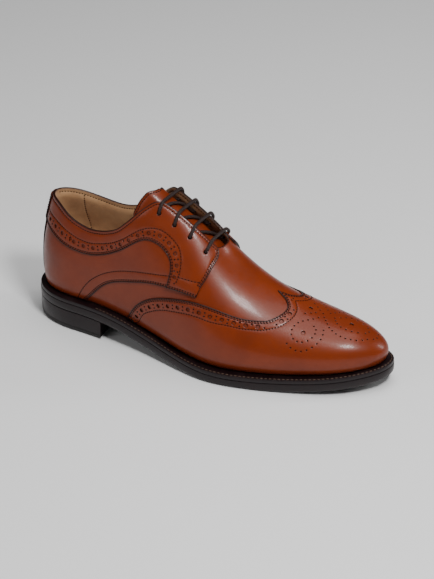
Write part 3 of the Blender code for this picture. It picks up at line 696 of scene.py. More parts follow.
def edgeLoops(loop, cuts):
    outer = loop if signedArea(loop) > 0 else loop[::-1]
    rows = []
    for line, sign in [(outer, 1)] + [(cut, -1) for cut in cuts]:
        turn = 1 if (signedArea(line) > 0) == (sign > 0) else -1
        for inset, drop in edgeRound["rows"]:
            moved = line if inset == 0 else offsetLine(line, inset * turn, True)
            rows.append((moved, np.full(len(moved), drop), farAway))
    return rows


def holeLoops(holes):
    rows = []
    for centre, radius in holes:
        sides, rings = edgeRound["pin" if radius < edgeRound["pinUnder"] else "big"]
        for inset, drop, shade in rings:
            rows.append((circle(centre, radius + inset, sides), np.full(sides, drop), shade))
    return rows


def grooveLines(rows):
    # a groove under each row of stitches, puckered between one stitch and the next
    lines = []
    for row in rows:
        fine = resample(row, threadSizes["pitch"] / 4)
        wave = np.cos(np.arange(len(fine)) * math.pi / 2) * 0.5 + 0.5
        for shift, depth, share in ((0.0, groove["depth"], 1.0), (groove["half"], groove["lip"], 0.5),
                                    (-groove["half"], groove["lip"], 0.5)):
            moved = fine if shift == 0 else offsetLine(fine, shift)
            lines.append((moved, depth + groove["pucker"] * share * wave, farAway))
    return lines


def outsideHoles(points, holes, share=1.0):
    place = onSkin(points)
    keep = np.ones(len(points), bool)
    for centre, radius in holes:
        keep &= np.linalg.norm(place - onSkin(np.array([centre]))[0], axis=1) > radius * share
    return keep


def panelMesh(loop, holes, cuts, rows):
    # points in the unrolled plane, triangles, each point's drop and its shade
    closed, grooves = edgeLoops(loop, cuts) + holeLoops(holes), grooveLines(rows)
    loops, lines = [row[0] for row in closed], [row[0] for row in grooves]
    drop = np.concatenate([row[1] for row in closed + grooves])
    shade = np.concatenate([np.full(len(row[0]), row[2]) for row in closed + grooves])
    inner = sharedGrid[insideRegion(sharedGrid, loop, cuts)]
    inner = inner[skinGap(inner, np.concatenate(loops + lines)) > leatherGrid["spacing"] * 0.5]
    inner = inner[outsideHoles(inner, holes)]
    found, triangles, source, borderCount = triangulate(loops, lines, inner)
    known = (source >= 0) & (source < borderCount)
    doubtful = known[triangles].all(1) | (source[triangles] < 0).any(1)
    middle = found[triangles[doubtful]].mean(1)
    keep = np.ones(len(triangles), bool)
    keep[doubtful] = insideRegion(middle, loop, cuts) & outsideHoles(middle, holes, edgeRound["holeInside"])
    triangles = upward(found, triangles[keep], edgeRound["sliver"])
    used = np.unique(triangles)
    number = -np.ones(len(found), int)
    number[used] = np.arange(len(used))
    plane, known, source = found[used], known[used], source[used]
    down = np.zeros(len(plane))
    down[known] = drop[source[known]]
    near = np.minimum(skinGap(plane, np.concatenate([loop] + list(cuts))), farAway)
    near[known] = np.minimum(near[known], shade[source[known]])
    return plane, number[triangles], down, near


def panel(name, loop, top, low, material, holes=(), cuts=(), rows=(), sewnInside=False, lifted=lift):
    # a sheet of leather over a region of the unrolled plane: rounded edges, punched holes, stitch grooves
    plane, triangles, down, near = panelMesh(loop, holes, cuts, rows)
    topOffset = top(plane) - (0.0 if sewnInside else down)
    lowOffset = low(plane) + (down if sewnInside else 0.0)
    points = np.concatenate([lifted(plane, topOffset), lifted(plane, lowOffset)])
    count = len(plane)
    faces = [tuple(t) for t in triangles.tolist()]
    faces += [(c + count, b + count, a + count) for a, b, c in faces]
    faces += [(b, a, a + count, b + count) for a, b in rimEdges(triangles)]
    piece = makeMesh(name, points, faces, material)
    setAttribute(piece, "edgeDistance", np.concatenate([near, near]))
    seam = np.full(count, farAway)
    if len(rows):
        seam = np.minimum(skinGap(plane, np.concatenate([resample(row, 0.45) for row in rows])), farAway)
    setAttribute(piece, "seamDistance", np.concatenate([seam, seam]))
    face, sign = (low, -1) if sewnInside else (top, 1)
    upright = skinNormal if lifted is lift else tongueNormal
    for row in rows:
        line = resample(row, 0.6)
        sewnRows.append((lifted(line, face(line) - threadSizes["sunk"] * sign), upright(line) * sign))
    for centre, radius in holes:
        if radius < edgeRound["pinUnder"]:
            place = np.array([centre], float)
            punched.append((lift(place, low(place) + pinholeShadow["above"])[0], skinNormal(place)[0], radius))
    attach(piece, "root")
    print("panel", name, len(faces))
    return piece


# seams and edges: (station, height above the feather line) or (station, distance from the ridge), mm
seams = {
    "collar": ((0, 78.2, 78.2), (10, 78.4, 78.4), (20, 77.9, 77.9), (30, 75, 74.9), (40, 71.2, 71),
               (49, 68.9, 68.6),
               (58, 67.9, 67.6), (66, 68.9, 68.6), (76, 72.7, 72.6), (84.5, 78.4, 78.7), (91.5, 86.3, 87),
               (96, 92.1, 92.8), (99.5, 97, 97.6), (105, 104.5, 105), (110, 110.6, 111)),
    "facing": ((114.5, 18.4), (119, 15.8), (124, 14.7), (134.5, 13.8), (145.5, 12.7), (155.5, 11.2),
               (161.5, 10.2)),
    "throatEnd": 163.5,
    "throatHalf": 6.0,
    "quarterLow": ((54, 1.2), (61, 9.5), (69.5, 19.9), (78.5, 28.2), (89.5, 34.9), (101.5, 41), (116, 48),
                   (132, 53), (145, 55.4), (158.5, 56.2)),
    "quarterFront": ((160.6, 45), (162.8, 37.2), (164.2, 27.4), (165, 19.6), (164.6, 13.4), (163.4, 10.9)),
    "swanNeck": ((0, 55.8), (8, 55.2), (15, 53.7), (22.5, 51.5), (29.5, 49.3), (36, 47.4), (42, 46.3),
                 (48, 45.8),
                 (54, 45.8), (60.5, 46.6), (67.5, 48.7), (82, 56.5), (94, 66.8), (103, 76), (110.5, 81.6),
                 (118.5, 83.2), (127, 80.8), (132.5, 75.6), (134.2, 68.6), (133.6, 61), (132, 53)),
    "capSide": ((93, 1.2), (97, 9), (102, 18.6), (109.5, 28.4), (119, 36.6), (130, 43.1), (141.5, 48),
                (158, 52.2),
                (173.5, 51.8), (183.5, 49.8), (193, 47.8), (202, 47), (211, 47.4)),
    "capPeak": ((216.8, 23.5), (220.3, 16.8), (220.6, 9.6), (216, 3.6), (208, 0)),
    "tongue": ((109.6, 0), (109.5, 3), (108.6, 8), (106.6, 13.4), (103.2, 22), (98.6, 33), (95, 43.5),
               (94.2, 48.5), (96.5, 51), (104, 50.5), (118, 46), (138, 38), (156, 32), (167, 28), (172, 20),
               (173, 0)),
    "double": (1.1, 2.2),
    "frontDouble": (1.3, 2.5),
    "capInner": ((97, -4), (101, 1.5), (105.5, 6.4), (110.5, 16.6), (119, 25.3), (129, 32.2), (142.5, 37.7),
                 (160, 41.7), (176, 41), (185.5, 40.8), (195, 39.6), (209, 39.4)),
    "capInnerPeak": ((218.5, -32.3), (223, -27.7), (226.5, -21.5), (228.5, -14.3), (227, -6.3), (222, 0.1)),
    "capHolePeak": ((217.8, -28.4), (221.5, -24.4), (225, -15.3), (222.3, -5.2), (215.5, 0)),
    "quarterRow": ((47, 2.4), (57.5, 20.1), (77.5, 37.8), (98.5, 49.3), (131, 62.4), (140, 65.5),
                   (153.5, 67.5),
                   (160.5, 68.4)),
    "swanRow": ((0.3, 65.6), (12, 64.9), (21, 63.7), (29, 61.9), (35.5, 59.9), (42, 58.1), (47.5, 56.9),
                (53.5, 56.3),
                (59.5, 56.5), (67.5, 58.6), (81.5, 65.3), (94, 76), (104, 86.3), (114, 92.9), (122, 94.7),
                (131.5, 92.2), (138.5, 87.2), (141.5, 80.5), (142.5, 70.5), (141, 61.9)),
    "lining": ((28.5, 74.0), (28, 62.6), (28, 53.1), (29.5, 40), (31, 22)),
    # how far the rows lie from the edges of the lining, the collar, the strap and the tongue
    "liningInset": 2.6,
    "topInset": ((0, 40, 90), (3.4, 2.8, 2.4)),
    "strapInset": 1.5,
    "tongueInset": 2.4,
    # the tongue's arch, and its medial top edge: distance off the ridge, shift forward up to a fading station
    "archHalf": 21.0,
    "archRise": 0.72,
    "tongueForward": ((0, 0), (10, 2.5), (26, 2.5), (48, 0)),
    "tongueFree": 124,
    "tongueBlend": 12,
    "strap": ((0, 2), (6, 2), (6.4, 30), (7.4, 53), (7.5, 56.6), (8.8, 75.8), (0, 76.4)),
    # where the strap climbs over the collar band, over how long a run, and how high
    "strapStep": (54.8, 3.0, 0.9),
    "backSeam": 0.3,
    "eyelets": ((156.5, 21.1), (143.5, 22.6), (130.5, 24.1), (117.3, 25.6)),
    "eyeletRadius": 1.55,
}

# offset of each layer from the last, mm
layers = {"lining": (-2.7, -1.75), "vamp": (-1.7, -0.75), "overlay": (-0.55, 0.4), "facing": (0.45, 1.3),
          "strap": (0.95, 1.8), "tongue": (-8.8, -6.9)}

# how far the layers are pared near an opening, and how thick they stay there
skive = {"reach": 7.5, "keep": 0.5, "hold": 1.1, "outer": 1.3}
# dark discs near the bottom of each pinhole: painted shade
pinholeShadow = {"above": 0.03, "thickness": 0.03, "wider": 1.1}


def openingEdge(side):
    column = 1 if side < 0 else 2
    collar = heights([(row[0], row[column]) for row in seams["collar"]], side)
    return smoothLine(np.concatenate([collar, ridgeRows(seams["facing"], side)]))


def featherEdge(first, last, side, height=0.0):
    count = max(3, int((last - first) / 1.2))
    return flat(np.linspace(first, last, count), np.full(count, height), side)


openings = {-1: openingEdge(-1), 1: openingEdge(1)}
end, half = seams["throatEnd"], seams["throatHalf"]
throat = smoothLine([openings[-1][-1], (end, -half), (end + 0.8, 0.0), (end, half), openings[1][-1]], 1.0)
opening = chain(openings[-1], throat, openings[1][::-1])
bottomEdge = chain(featherEdge(0, lastLength, -1), featherEdge(0, lastLength, 1)[::-1])
eyelets = [((s, side * d), seams["eyeletRadius"]) for side in (-1, 1) for s, d in seams["eyelets"]]
openingTree = treeOf(onSkin(resample(chain(opening, opening[:1] + 1e-3), 0.8)))


def skived(offset):
    # the layers are pared thin towards the edge of the opening
    def value(plane):
        near = distances(onSkin(plane), openingTree)
        part = np.clip(1 - near / skive["reach"], 0, 1)
        part = part * part * (3 - 2 * part)
        pared = skive["hold"] + (offset - skive["outer"]) * skive["keep"]
        return offset * (1 - part) + pared * part
    return value


def pared(layer):
    return [skived(offset) for offset in layers[layer][::-1]]


def plain(offset):
    return lambda plane: np.full(len(plane), float(offset))


def clipped(line, loop, margin, others=(), gap=0.9, outside=None):
    # the longest stretch of a line that stays inside a loop and clear of other lines
    good = insideLoop(line, loop) & (skinGap(line, loop) > margin)
    if outside is not None:
        good &= ~insideLoop(line, outside) & (skinGap(line, outside) > 0.5)
    if len(others):
        good &= skinGap(line, np.concatenate(others)) > gap
    best, start = (0, 0), None
    for i, flag in enumerate(list(good) + [False]):
        if flag and start is None:
            start = i
        if not flag and start is not None:
            if i - start > best[1] - best[0]:
                best = (start, i)
            start = None
    return line[best[0]:best[1]]


def tidyRows(rows, loop, outside=None):
    # rows of stitches cut back from the edges and from the rows laid before them
    kept = []
    for row in rows:
        line = clipped(resample(row, 0.6), loop, 0.8, kept, outside=outside)
        if len(line) > 8:
            kept.append(line)
    return kept


# broguing: big holes along a row, and between them a pair of pinholes set across it
punch = {"pitch": 9.4, "capBig": 1.5, "bandBig": 1.35, "pin": 0.5, "apart": 1.4, "clear": 0.75, "share": 0.63}


def between(edge, row, turn):
    # a line that runs between an edge and the row inside it
    return offsetLine(edge, punch["share"] * skinGap(edge, resample(row, 0.6)) * turn)


def punchRow(line, loop, rows, big, first=0.0):
    places = resample(line, punch["pitch"] / 2, first)
    left = offsetLine(places, punch["apart"])
    right = offsetLine(places, -punch["apart"])
    holes = []
    for i in range(len(places)):
        if i % 2 == 0:
            holes.append((places[i], big))
        else:
            holes += [(left[i], punch["pin"]), (right[i], punch["pin"])]
    return clearHoles(holes, loop, rows)


def clearHoles(holes, loop, rows):
    centres = np.array([centre for centre, _ in holes])
    near = np.minimum(skinGap(centres, loop), skinGap(centres, np.concatenate(rows)))
    return [hole for hole, room, good in zip(holes, near, insideLoop(centres, loop))
            if good and room > hole[1] + punch["clear"]]


liningRows = [resample(offsetLine(openings[side], seams["liningInset"] * side), 0.6)[6:-14]
              for side in (-1, 1)]
liningSeam = resample(smoothLine(heights(seams["lining"], 1)), 0.6)
liningRows.append(clipped(liningSeam, bottomEdge, 1.0, liningRows))
liningSheet = panel("lining", bottomEdge, *pared("lining"), lining, eyelets, [opening], liningRows, True)
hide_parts("upper")
vamp = panel("vamp", bottomEdge, *pared("vamp"), calf, eyelets, [opening])
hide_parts("upper")

# wing cap
capLine = smoothLine(np.concatenate([heights(seams["capSide"], -1), ridgeRows(seams["capPeak"][:-1], -1)]))
peak = np.array([seams["capPeak"][-1]], float)
capLine = chain(capLine, resample(np.concatenate([capLine[-1:], peak]), 1.2))
capLow = featherEdge(seams["capSide"][0][0], lastLength, -1, seams["capSide"][0][1])
capLoop = chain(capLow, mirrored(capLow), mirrored(capLine)[::-1], capLine[::-1])


def capRow(line):
    # one half of a row, and its mirror image, joined on the middle line of the toe
    half = line[line[:, 1] < -0.05]
    return chain(half, mirrored(half))


capRows = [capRow(offsetLine(capLine, -inset)) for inset in seams["double"]]
innerRow = np.concatenate([heights(seams["capInner"], -1), np.array(seams["capInnerPeak"])])
capRows.append(capRow(smoothLine(innerRow)))
capRows = tidyRows(capRows, capLoop)
sideOnly = capLine[(unflat(capLine)[0] < seams["capInner"][-1][0]) & (capLine[:, 1] < -30.0)]
holeLine = between(sideOnly, smoothLine(innerRow), -1)
holeLine = smoothLine(np.concatenate([holeLine[::8], np.array(seams["capHolePeak"])]))[::-1]
capHoles = punchRow(holeLine, capLoop, capRows, punch["capBig"])
capHoles += [((p, -q), radius) for (p, q), radius in capHoles if abs(q) > 0.5]


def medallionHoles():
    holes = []
    lean = medallion["lean"]
    for radius, rows in ((punch["capBig"], medallion["big"]), (punch["pin"], medallion["pins"])):
        for p, b in rows:
            middle = np.interp(p, *zip(*medallion["middle"]))
            holes.append(((p, middle - b), radius))
            if b > 0:
                shear = np.interp(p, lean[0], lean[1])
                holes.append(((p - 2 * shear * b, middle + b), radius))
    return holes


# the toe medallion: (place along the unrolled plane, distance from its middle line)
medallion = {
    "middle": ((230, 0.4), (253, 4.0), (266, 5.5), (290, 6.3)),
    "lean": ((240, 262), (0.0, 0.13)),
    "big": ((234.7, 0), (266.1, 0), (240.7, 26)),
    "pins": ((244.1, 0), (240.4, 2.6), (237.6, 5.4), (234.1, 8.3),
             (247.9, 3.9), (250.6, 6.9), (253.3, 10), (256.3, 12.9), (259.7, 14.8), (263.6, 16.3),
             (267.7, 16.8),
             (271.7, 16.2), (275.7, 14.7), (279.6, 12.8), (283.2, 9.5), (285.7, 6), (287.2, 1.8),
             (253, 0), (256.1, 2.9), (259.4, 5.7), (263.4, 7.8), (268, 8.3), (272.6, 7.4), (276.8, 5.3),
             (279.8, 1.9),
             (244.7, 7), (241.9, 10.6), (239, 13.5), (236, 16.3), (233.5, 19.2), (232.1, 22.9), (231.5, 26.6),
             (232.4, 30.5), (235.1, 33.2), (239.1, 34.3), (243.2, 33.6), (246.8, 31), (248.9, 27.4),
             (249.6, 23.4),
             (248.6, 19.7), (245.7, 17.3),
             (253.9, 17.5), (255.3, 21.6), (255.8, 26), (254.8, 30.4), (252.7, 34.6), (249.5, 38.1),
             (245.3, 40.6),
             (240.5, 41.2), (235.6, 40.4), (231.6, 38.1)),
}
capHoles += clearHoles(medallionHoles(), capLoop, capRows)


cap = panel("wingCap", capLoop, plain(layers["overlay"][1]), plain(layers["overlay"][0]), calf, capHoles,
            rows=capRows)
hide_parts("wing_cap")

for side, word, node in ((-1, "Lateral", "quarter_lateral"), (1, "Medial", "quarter_medial")):
    top = openings[side]
    low = smoothLine(heights(seams["quarterLow"], side))
    front = smoothLine(ridgeRows(seams["quarterFront"], side))
    seamStation, collarTop = seams["backSeam"], seams["collar"][0][1]
    backLow = featherEdge(seamStation, seams["quarterLow"][0][0], side, seams["quarterLow"][0][1])
    seam = smoothLine(flat([seamStation] * 3, [collarTop, 40.0, seams["quarterLow"][0][1]], side))
    loop = chain(seam, backLow, low, front, top[::-1][:-1])
    holes = [e for e in eyelets if e[0][1] * side > 0]
    neck = smoothLine(heights(((seamStation, seams["swanNeck"][0][1]),) + seams["swanNeck"][1:], side))
    backSeam = smoothLine(flat([seamStation] * 2, [collarTop, seams["swanNeck"][0][1]], side))
    start = int(np.argmin(np.linalg.norm(low - neck[-1], axis=1)))
    facingLoop = chain(backSeam, neck, low[start + 1:], front, top[::-1][:-1])
    uphill = -side
    lowRows = [offsetLine(low, inset * uphill) for inset in seams["double"]]
    lowRows.append(smoothLine(heights(seams["quarterRow"], side)))
    frontRows = [offsetLine(front, inset * uphill) for inset in seams["frontDouble"]]
    neckRows = [offsetLine(neck, inset * uphill) for inset in seams["double"]]
    neckRows.append(smoothLine(heights(seams["swanRow"], side)))
    topRow = offsetLine(top, np.interp(unflat(top)[0], *seams["topInset"]) * side)
    quarterRows = tidyRows(lowRows, loop, facingLoop)
    facingRows = tidyRows([topRow] + neckRows + lowRows[:2] + frontRows + lowRows[2:], facingLoop)
    bandLine = clipped(resample(between(neck, neckRows[-1], uphill), 0.6), facingLoop, 3.0)
    bandHoles = punchRow(smoothLine(bandLine[::6]), facingLoop, facingRows, punch["bandBig"], 3.6)
    quarter = panel("quarter" + word, loop, *pared("overlay"), calf, holes, rows=quarterRows)
    facing = panel("facing" + word, facingLoop, *pared("facing"), calf, holes + bandHoles, rows=facingRows)
    for piece in (quarter, facing):
        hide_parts(node)

# back strap
strapSide = smoothLine(heights(seams["strap"][1:6], -1))
strapLoop = chain(heights(seams["strap"][:1], -1), strapSide, heights(seams["strap"][-1:], -1),
                  mirrored(strapSide))


def strapOffset(offset):
    step, run, rise = seams["strapStep"]

    def value(plane):
        height = fullArc(0.0) - np.hypot(plane[:, 0] - heelCentre, plane[:, 1])
        t = np.clip((height - step + run / 2) / run, 0, 1)
        return offset + rise * t * t * (3 - 2 * t)
    return value


strapRow = offsetLine(strapSide, seams["strapInset"])
strapRows = tidyRows([strapRow, mirrored(strapRow)], strapLoop)
strap = panel("backStrap", strapLoop, *[strapOffset(offset) for offset in layers["strap"][::-1]], calf,
              rows=strapRows)
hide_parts("back_strap")


# tongue
def tongueTop(plane):
    # set in from the last at the sides, and one soft arch over the narrow ridge
    plane = np.asarray(plane, float)
    low, half = layers["tongue"][1], seams["archHalf"]
    points = lift(plane, low)
    near = np.abs(plane[:, 1]) < half
    ends, slopes = [], []
    for side in (-1, 1):
        at = np.stack([plane[near, 0], np.full(near.sum(), side * half)], -1)
        ends.append(lift(at, low))
        slopes.append((lift(at + [0, 0.5], low) - lift(at - [0, 0.5], low)) * 2 * half * seams["archRise"])
    t = ((plane[near, 1] + half) / (2 * half))[:, None]
    points[near] = ((1 + 2 * t) * (1 - t) ** 2 * ends[0] + t * (1 - t) ** 2 * slopes[0]
                    + t * t * (3 - 2 * t) * ends[1] - t * t * (1 - t) * slopes[1])
    return points


def tongueNormal(plane):
    return normalOf(tongueTop, plane)


def tongueLift(plane, offset):
    plane = np.asarray(plane, float)
    return tongueTop(plane) + tongueNormal(plane) * np.asarray(offset, float)[..., None]


tongueSide = smoothLine(ridgeRows(seams["tongue"], -1))
tongueInner = mirrored(tongueSide)
forward = np.interp(np.abs(tongueInner[:, 1]), *zip(*seams["tongueForward"]))
tongueInner[:, 0] += forward * np.clip((seams["tongueFree"] - tongueInner[:, 0]) / seams["tongueBlend"], 0, 1)
tongueLoop = chain(tongueSide, tongueInner)
tongueRows = tidyRows([capRow(offsetLine(tongueSide, seams["tongueInset"]))], tongueLoop)
tongueBottom = layers["tongue"][0] - layers["tongue"][1]
tongue = panel("tongueLeather", tongueLoop, plain(0.0), plain(tongueBottom), calf, rows=tongueRows,
               lifted=tongueLift)
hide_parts("tongue")

# layers of the sole
soleSizes = {"thick": 10.4, "welt": 3.2, "gap": 0.3, "heelLength": 71.0, "heelCurve": 2.5, "topPiece": 4.2,
             "sock": 2.4, "tuck": 4.9, "sockInset": 3.7, "weltInner": 8.0}
plateGrid = {"first": 4, "wide": (-58, 72), "spacing": 6.0, "clear": 3.5, "sliver": 1e-4, "edge": 0.9}


def inward(loop, amount):
    along = np.roll(loop, -1, 0) - np.roll(loop, 1, 0)
    normal = np.stack([-along[:, 1], along[:, 0]], -1)
    return loop + normal / np.linalg.norm(normal, axis=1, keepdims=True) * amount


def plate(name, loops, top, bottom, rim, material):
    step, clear = plateGrid["spacing"], plateGrid["clear"]
    inner = np.array([(x, y) for x in np.arange(plateGrid["first"], lastLength, step)
                      for y in np.arange(*plateGrid["wide"], step)])
    inner = inner[insideRegion(inner, loops[0], loops[1:])]
    inner = inner[flatGap(inner, np.concatenate(loops)) > clear]
    found, triangles, source, borderCount = triangulate(loops, (), inner)
    triangles = triangles[insideRegion(found[triangles].mean(1), loops[0], loops[1:])]
    triangles = upward(found, triangles, plateGrid["sliver"])
    pull = np.zeros((len(found), 2))
    pulls = np.concatenate([inward(loop, 1.0) - loop for loop in loops])
    known = (source >= 0) & (source < borderCount)
    pull[known] = pulls[source[known]]
    rows = []
    for inset, part in rim:
        xy = found + pull * inset
        rows.append(np.column_stack([xy, bottom(xy[:, 0]) * (1 - part) + top(xy[:, 0]) * part]))
    edges = rimEdges(triangles)
    rimPoints = sorted({a for edge in edges for a in edge})
    number = {a: i for i, a in enumerate(rimPoints)}
    count = len(found)
    points = np.concatenate([rows[0], rows[-1]] + [row[rimPoints] for row in rows[1:-1]])
    faces = [tuple(t[::-1]) for t in triangles.tolist()]
    faces += [tuple(v + count for v in t) for t in triangles.tolist()]

    def ring(layer, vertex):
        if layer == 0:
            return vertex
        if layer == len(rim) - 1:
            return vertex + count
        return 2 * count + (layer - 1) * len(rimPoints) + number[vertex]

    for a, b in edges:
        for k in range(len(rim) - 1):
            faces.append((ring(k, a), ring(k, b), ring(k + 1, b), ring(k + 1, a)))
    piece = makeMesh(name, points, faces, material)
    near = flatGap(points[:, :2], np.concatenate(loops))
    setAttribute(piece, "edgeDistance", near + plateGrid["edge"])
    smoothByAngle(piece)
    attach(piece, "root")
    print("plate", name, len(faces))
    return piece


def smoothByAngle(piece, limit=38.0):
    mesh = piece.data
    normals = [p.normal.copy() for p in mesh.polygons]
    edgeFaces = {}
    for polygon in mesh.polygons:
        for key in polygon.edge_keys:
            edgeFaces.setdefault(key, []).append(polygon.index)
    sharp = np.zeros(len(mesh.edges), bool)
    least = math.cos(math.radians(limit))
    for edge in mesh.edges:
        pair = edgeFaces.get(tuple(sorted(edge.vertices)), [])
        if len(pair) == 2 and normals[pair[0]].dot(normals[pair[1]]) < least:
            sharp[edge.index] = True
    attribute = mesh.attributes.new("sharp_edge", "BOOLEAN", "EDGE")
    attribute.data.foreach_set("value", sharp)


def cutHeel(loop, breast):
    behind = loop[loop[:, 0] < breast - 2.0]
    behind = behind[np.argsort(np.arctan2(behind[:, 1], behind[:, 0] - 60.0) % (2 * math.pi))]
    medial, lateral = behind[0], behind[-1]
    across = np.linspace(lateral[1], medial[1], 25)
    middle, half = (lateral[1] + medial[1]) / 2, (medial[1] - lateral[1]) / 2
    front = [(breast - soleSizes["heelCurve"] * (1 - ((y - middle) / half) ** 2), y) for y in across]
    return np.concatenate([behind, front])


def level(height):
    return lambda x: np.full(len(x), float(height))


fineOutline = outlineOf(soleWidth, 0.0, lastLength)
feather = outlineOf(upperWidth, heelMargin, lastLength - toeMargin, soleSizes["tuck"])
weltLow = lambda x: seat(x) - soleSizes["welt"]
soleTop = lambda x: weltLow(x) - soleSizes["gap"]
soleLow = lambda x: np.maximum(seat(x) - soleSizes["thick"], 0.0)
heelTop = lambda x: seat(x) - soleSizes["thick"] - soleSizes["gap"]
sockLow = lambda x: seat(x) + soleSizes["gap"]
sockTop = lambda x: sockLow(x) + soleSizes["sock"]
sock = plate("sock", [inward(feather, soleSizes["sockInset"])], sockTop, sockLow,
             ((0.3, 0.0), (0.0, 0.3), (0.1, 0.8), (0.6, 1.0)), sockLeather)
welt = plate("weltStrip", [inward(fineOutline, 0.3), inward(feather, soleSizes["weltInner"])], seat, weltLow,
             ((0.12, 0.0), (0.0, 0.12), (0.0, 0.7), (0.25, 0.93), (0.7, 1.0)), edgeDark)
outsole = plate("outsoleLeather", [fineOutline], soleTop, soleLow,
                ((0.9, 0.0), (0.35, 0.06), (0.08, 0.2), (0.0, 0.5), (0.05, 0.95), (0.18, 1.0)), edgeDark)
heelLoop = cutHeel(inward(fineOutline, 0.2), soleSizes["heelLength"])
heel = plate("heelStack", [heelLoop], heelTop, level(soleSizes["topPiece"]),
             ((0.25, 0.0), (0.1, 0.06), (0.1, 0.5), (0.05, 0.94), (0.2, 1.0)), heelDark)
topPiece = plate("heelTopPiece", [inward(heelLoop, 0.3)], level(soleSizes["topPiece"]), level(0.0),
                 ((0.7, 0.0), (0.2, 0.2), (0.0, 0.5), (0.0, 0.92), (0.2, 1.0)), rubber)
for piece, node, slot in ((sock, "insole", "insole_leather"), (welt, "welt", "sole_leather"),
                          (outsole, "outsole", "sole_leather"), (heel, "heel_stack", "sole_leather"),
                          (topPiece, "heel_top_piece", "heel_rubber")):
    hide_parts(node)

# lace: bars over the facings and slanted runs beneath them
laceSizes = {"radius": 1.35, "sides": 12, "spacing": 0.8, "top": 3.3, "low": -5.05}


def lacePath():
    rows = []
    low, high = laceSizes["low"], laceSizes["top"]
    climb = ((1.6, low), (0.5, low + 0.25), (0.0, low + 1.1), (0.0, (low + high) / 2), (0.0, high - 1.1),
             (0.5, high - 0.25), (1.6, high))
    for index, (s, d) in enumerate(seams["eyelets"]):
        edge = np.interp(s, *zip(*seams["facing"]))
        rows += [(s, -(d - back), offset) for back, offset in climb]
        rows += [(s, -edge, high)] + [(s, -edge * (1 - part), np.nan) for part in (0.4, 0.8, 1.2, 1.6)]
        rows += [(s, edge, high)] + [(s, d - back, offset) for back, offset in climb[::-1]]
        if index + 1 < len(seams["eyelets"]):
            ahead, wide = seams["eyelets"][index + 1]
            for part in np.linspace(0, 1, 11)[1:-1]:
                rows.append((s + (ahead - s) * part, (d - 1.6) * (1 - part) - (wide - 1.6) * part, low))
    rows = np.array(rows, float)
    known = ~np.isnan(rows[:, 2])
    offset = np.where(known, rows[:, 2], 0.0)
    points = lift(rows[:, :2], offset)
    under = offset == low
    points[under] = tongueLift(rows[under, :2], low - layers["tongue"][1])
    at = np.arange(len(rows))
    points = readAt(at, at[known], points[known])
    run = runOf(points)
    return readAt(np.append(np.arange(0, run[-1], laceSizes["spacing"]), run[-1]), run, points)


def smoothed(points, times):
    for _ in range(times):
        points = np.concatenate([points[:1], (points[:-2] + 2 * points[1:-1] + points[2:]) / 4, points[-1:]])
    return points


def tube(name, path, radius, sides, material):
    count = len(path)
    tangent = np.gradient(path, axis=0)
    tangent /= np.linalg.norm(tangent, axis=1, keepdims=True)
    normal = np.cross(tangent[0], [0.0, 0.0, 1.0])
    normal /= np.linalg.norm(normal)
    turn = np.arange(sides) / sides * 2 * math.pi
    points = []
    for i in range(count):
        normal = normal - tangent[i] * np.dot(normal, tangent[i])
        normal /= np.linalg.norm(normal)
        other = np.cross(tangent[i], normal)
        points.append(path[i] + radius * (np.outer(np.cos(turn), normal) + np.outer(np.sin(turn), other)))
    points = np.concatenate(points)
    faces = [tuple(range(sides))[::-1], tuple((count - 1) * sides + k for k in range(sides))]
    for i in range(count - 1):
        for k in range(sides):
            a, b = i * sides + k, i * sides + (k + 1) % sides
            faces.append((a, b, b + sides, a + sides))
    piece = makeMesh(name, points, faces, material)
    run = runOf(path) * mm
    layer = piece.data.uv_layers.new(name="UVMap")
    for polygon in piece.data.polygons:
        columns = [piece.data.loops[i].vertex_index % sides for i in polygon.loop_indices]
        wrap = max(columns) - min(columns) > sides / 2
        for i in polygon.loop_indices:
            vertex = piece.data.loops[i].vertex_index
            column = vertex % sides
            around = (column + sides if wrap and column < sides / 2 else column) / sides
            layer.data[i].uv = (run[vertex // sides], around)
    return piece


lace = tube("laceCord", smoothed(lacePath(), 14), laceSizes["radius"], laceSizes["sides"], laceBraid)
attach(lace, "root")
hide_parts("lace")
print("lace")


# thread, and dark discs of painted shade at the bottom of the pinholes, placed by geometry nodes
def nodeTree(name, sockets):
    tree = bpy.data.node_groups.new(name, "GeometryNodeTree")
    for label, kind in (("Geometry", "Geometry"),) + sockets + (("Material", "Material"),):
        tree.interface.new_socket(label, in_out="INPUT", socket_type="NodeSocket" + kind)
    tree.interface.new_socket("Geometry", in_out="OUTPUT", socket_type="NodeSocketGeometry")
    return tree, tree.nodes.new("NodeGroupInput").outputs


def finishTree(tree, entry, place):
    real = addNode(tree, "GeometryNodeRealizeInstances", {"Geometry": place.outputs["Instances"]})
    paint = addNode(tree, "GeometryNodeSetMaterial",
                    {"Geometry": real.outputs["Geometry"], "Material": entry["Material"]})
    addNode(tree, "NodeGroupOutput", {"Geometry": paint.outputs["Geometry"]})
    return tree


def named(tree, name, kind):
    node = addNode(tree, "GeometryNodeInputNamedAttribute", {"Name": name}, data_type=kind)
    return node.outputs["Attribute"]


def standUp(tree, along=None):
    # turns an instance so that its z follows the leather's normal, and its x the seam
    upright = addNode(tree, "FunctionNodeAlignRotationToVector",
                      {"Vector": named(tree, "skinNormal", "FLOAT_VECTOR")}, axis="Z")
    if along:
        lengthwise = addNode(tree, "FunctionNodeAlignRotationToVector", {"Vector": along}, axis="X")
        wire(tree, upright, {"Rotation": lengthwise.outputs["Rotation"]})
        upright.pivot_axis = "X"
    return upright.outputs["Rotation"]


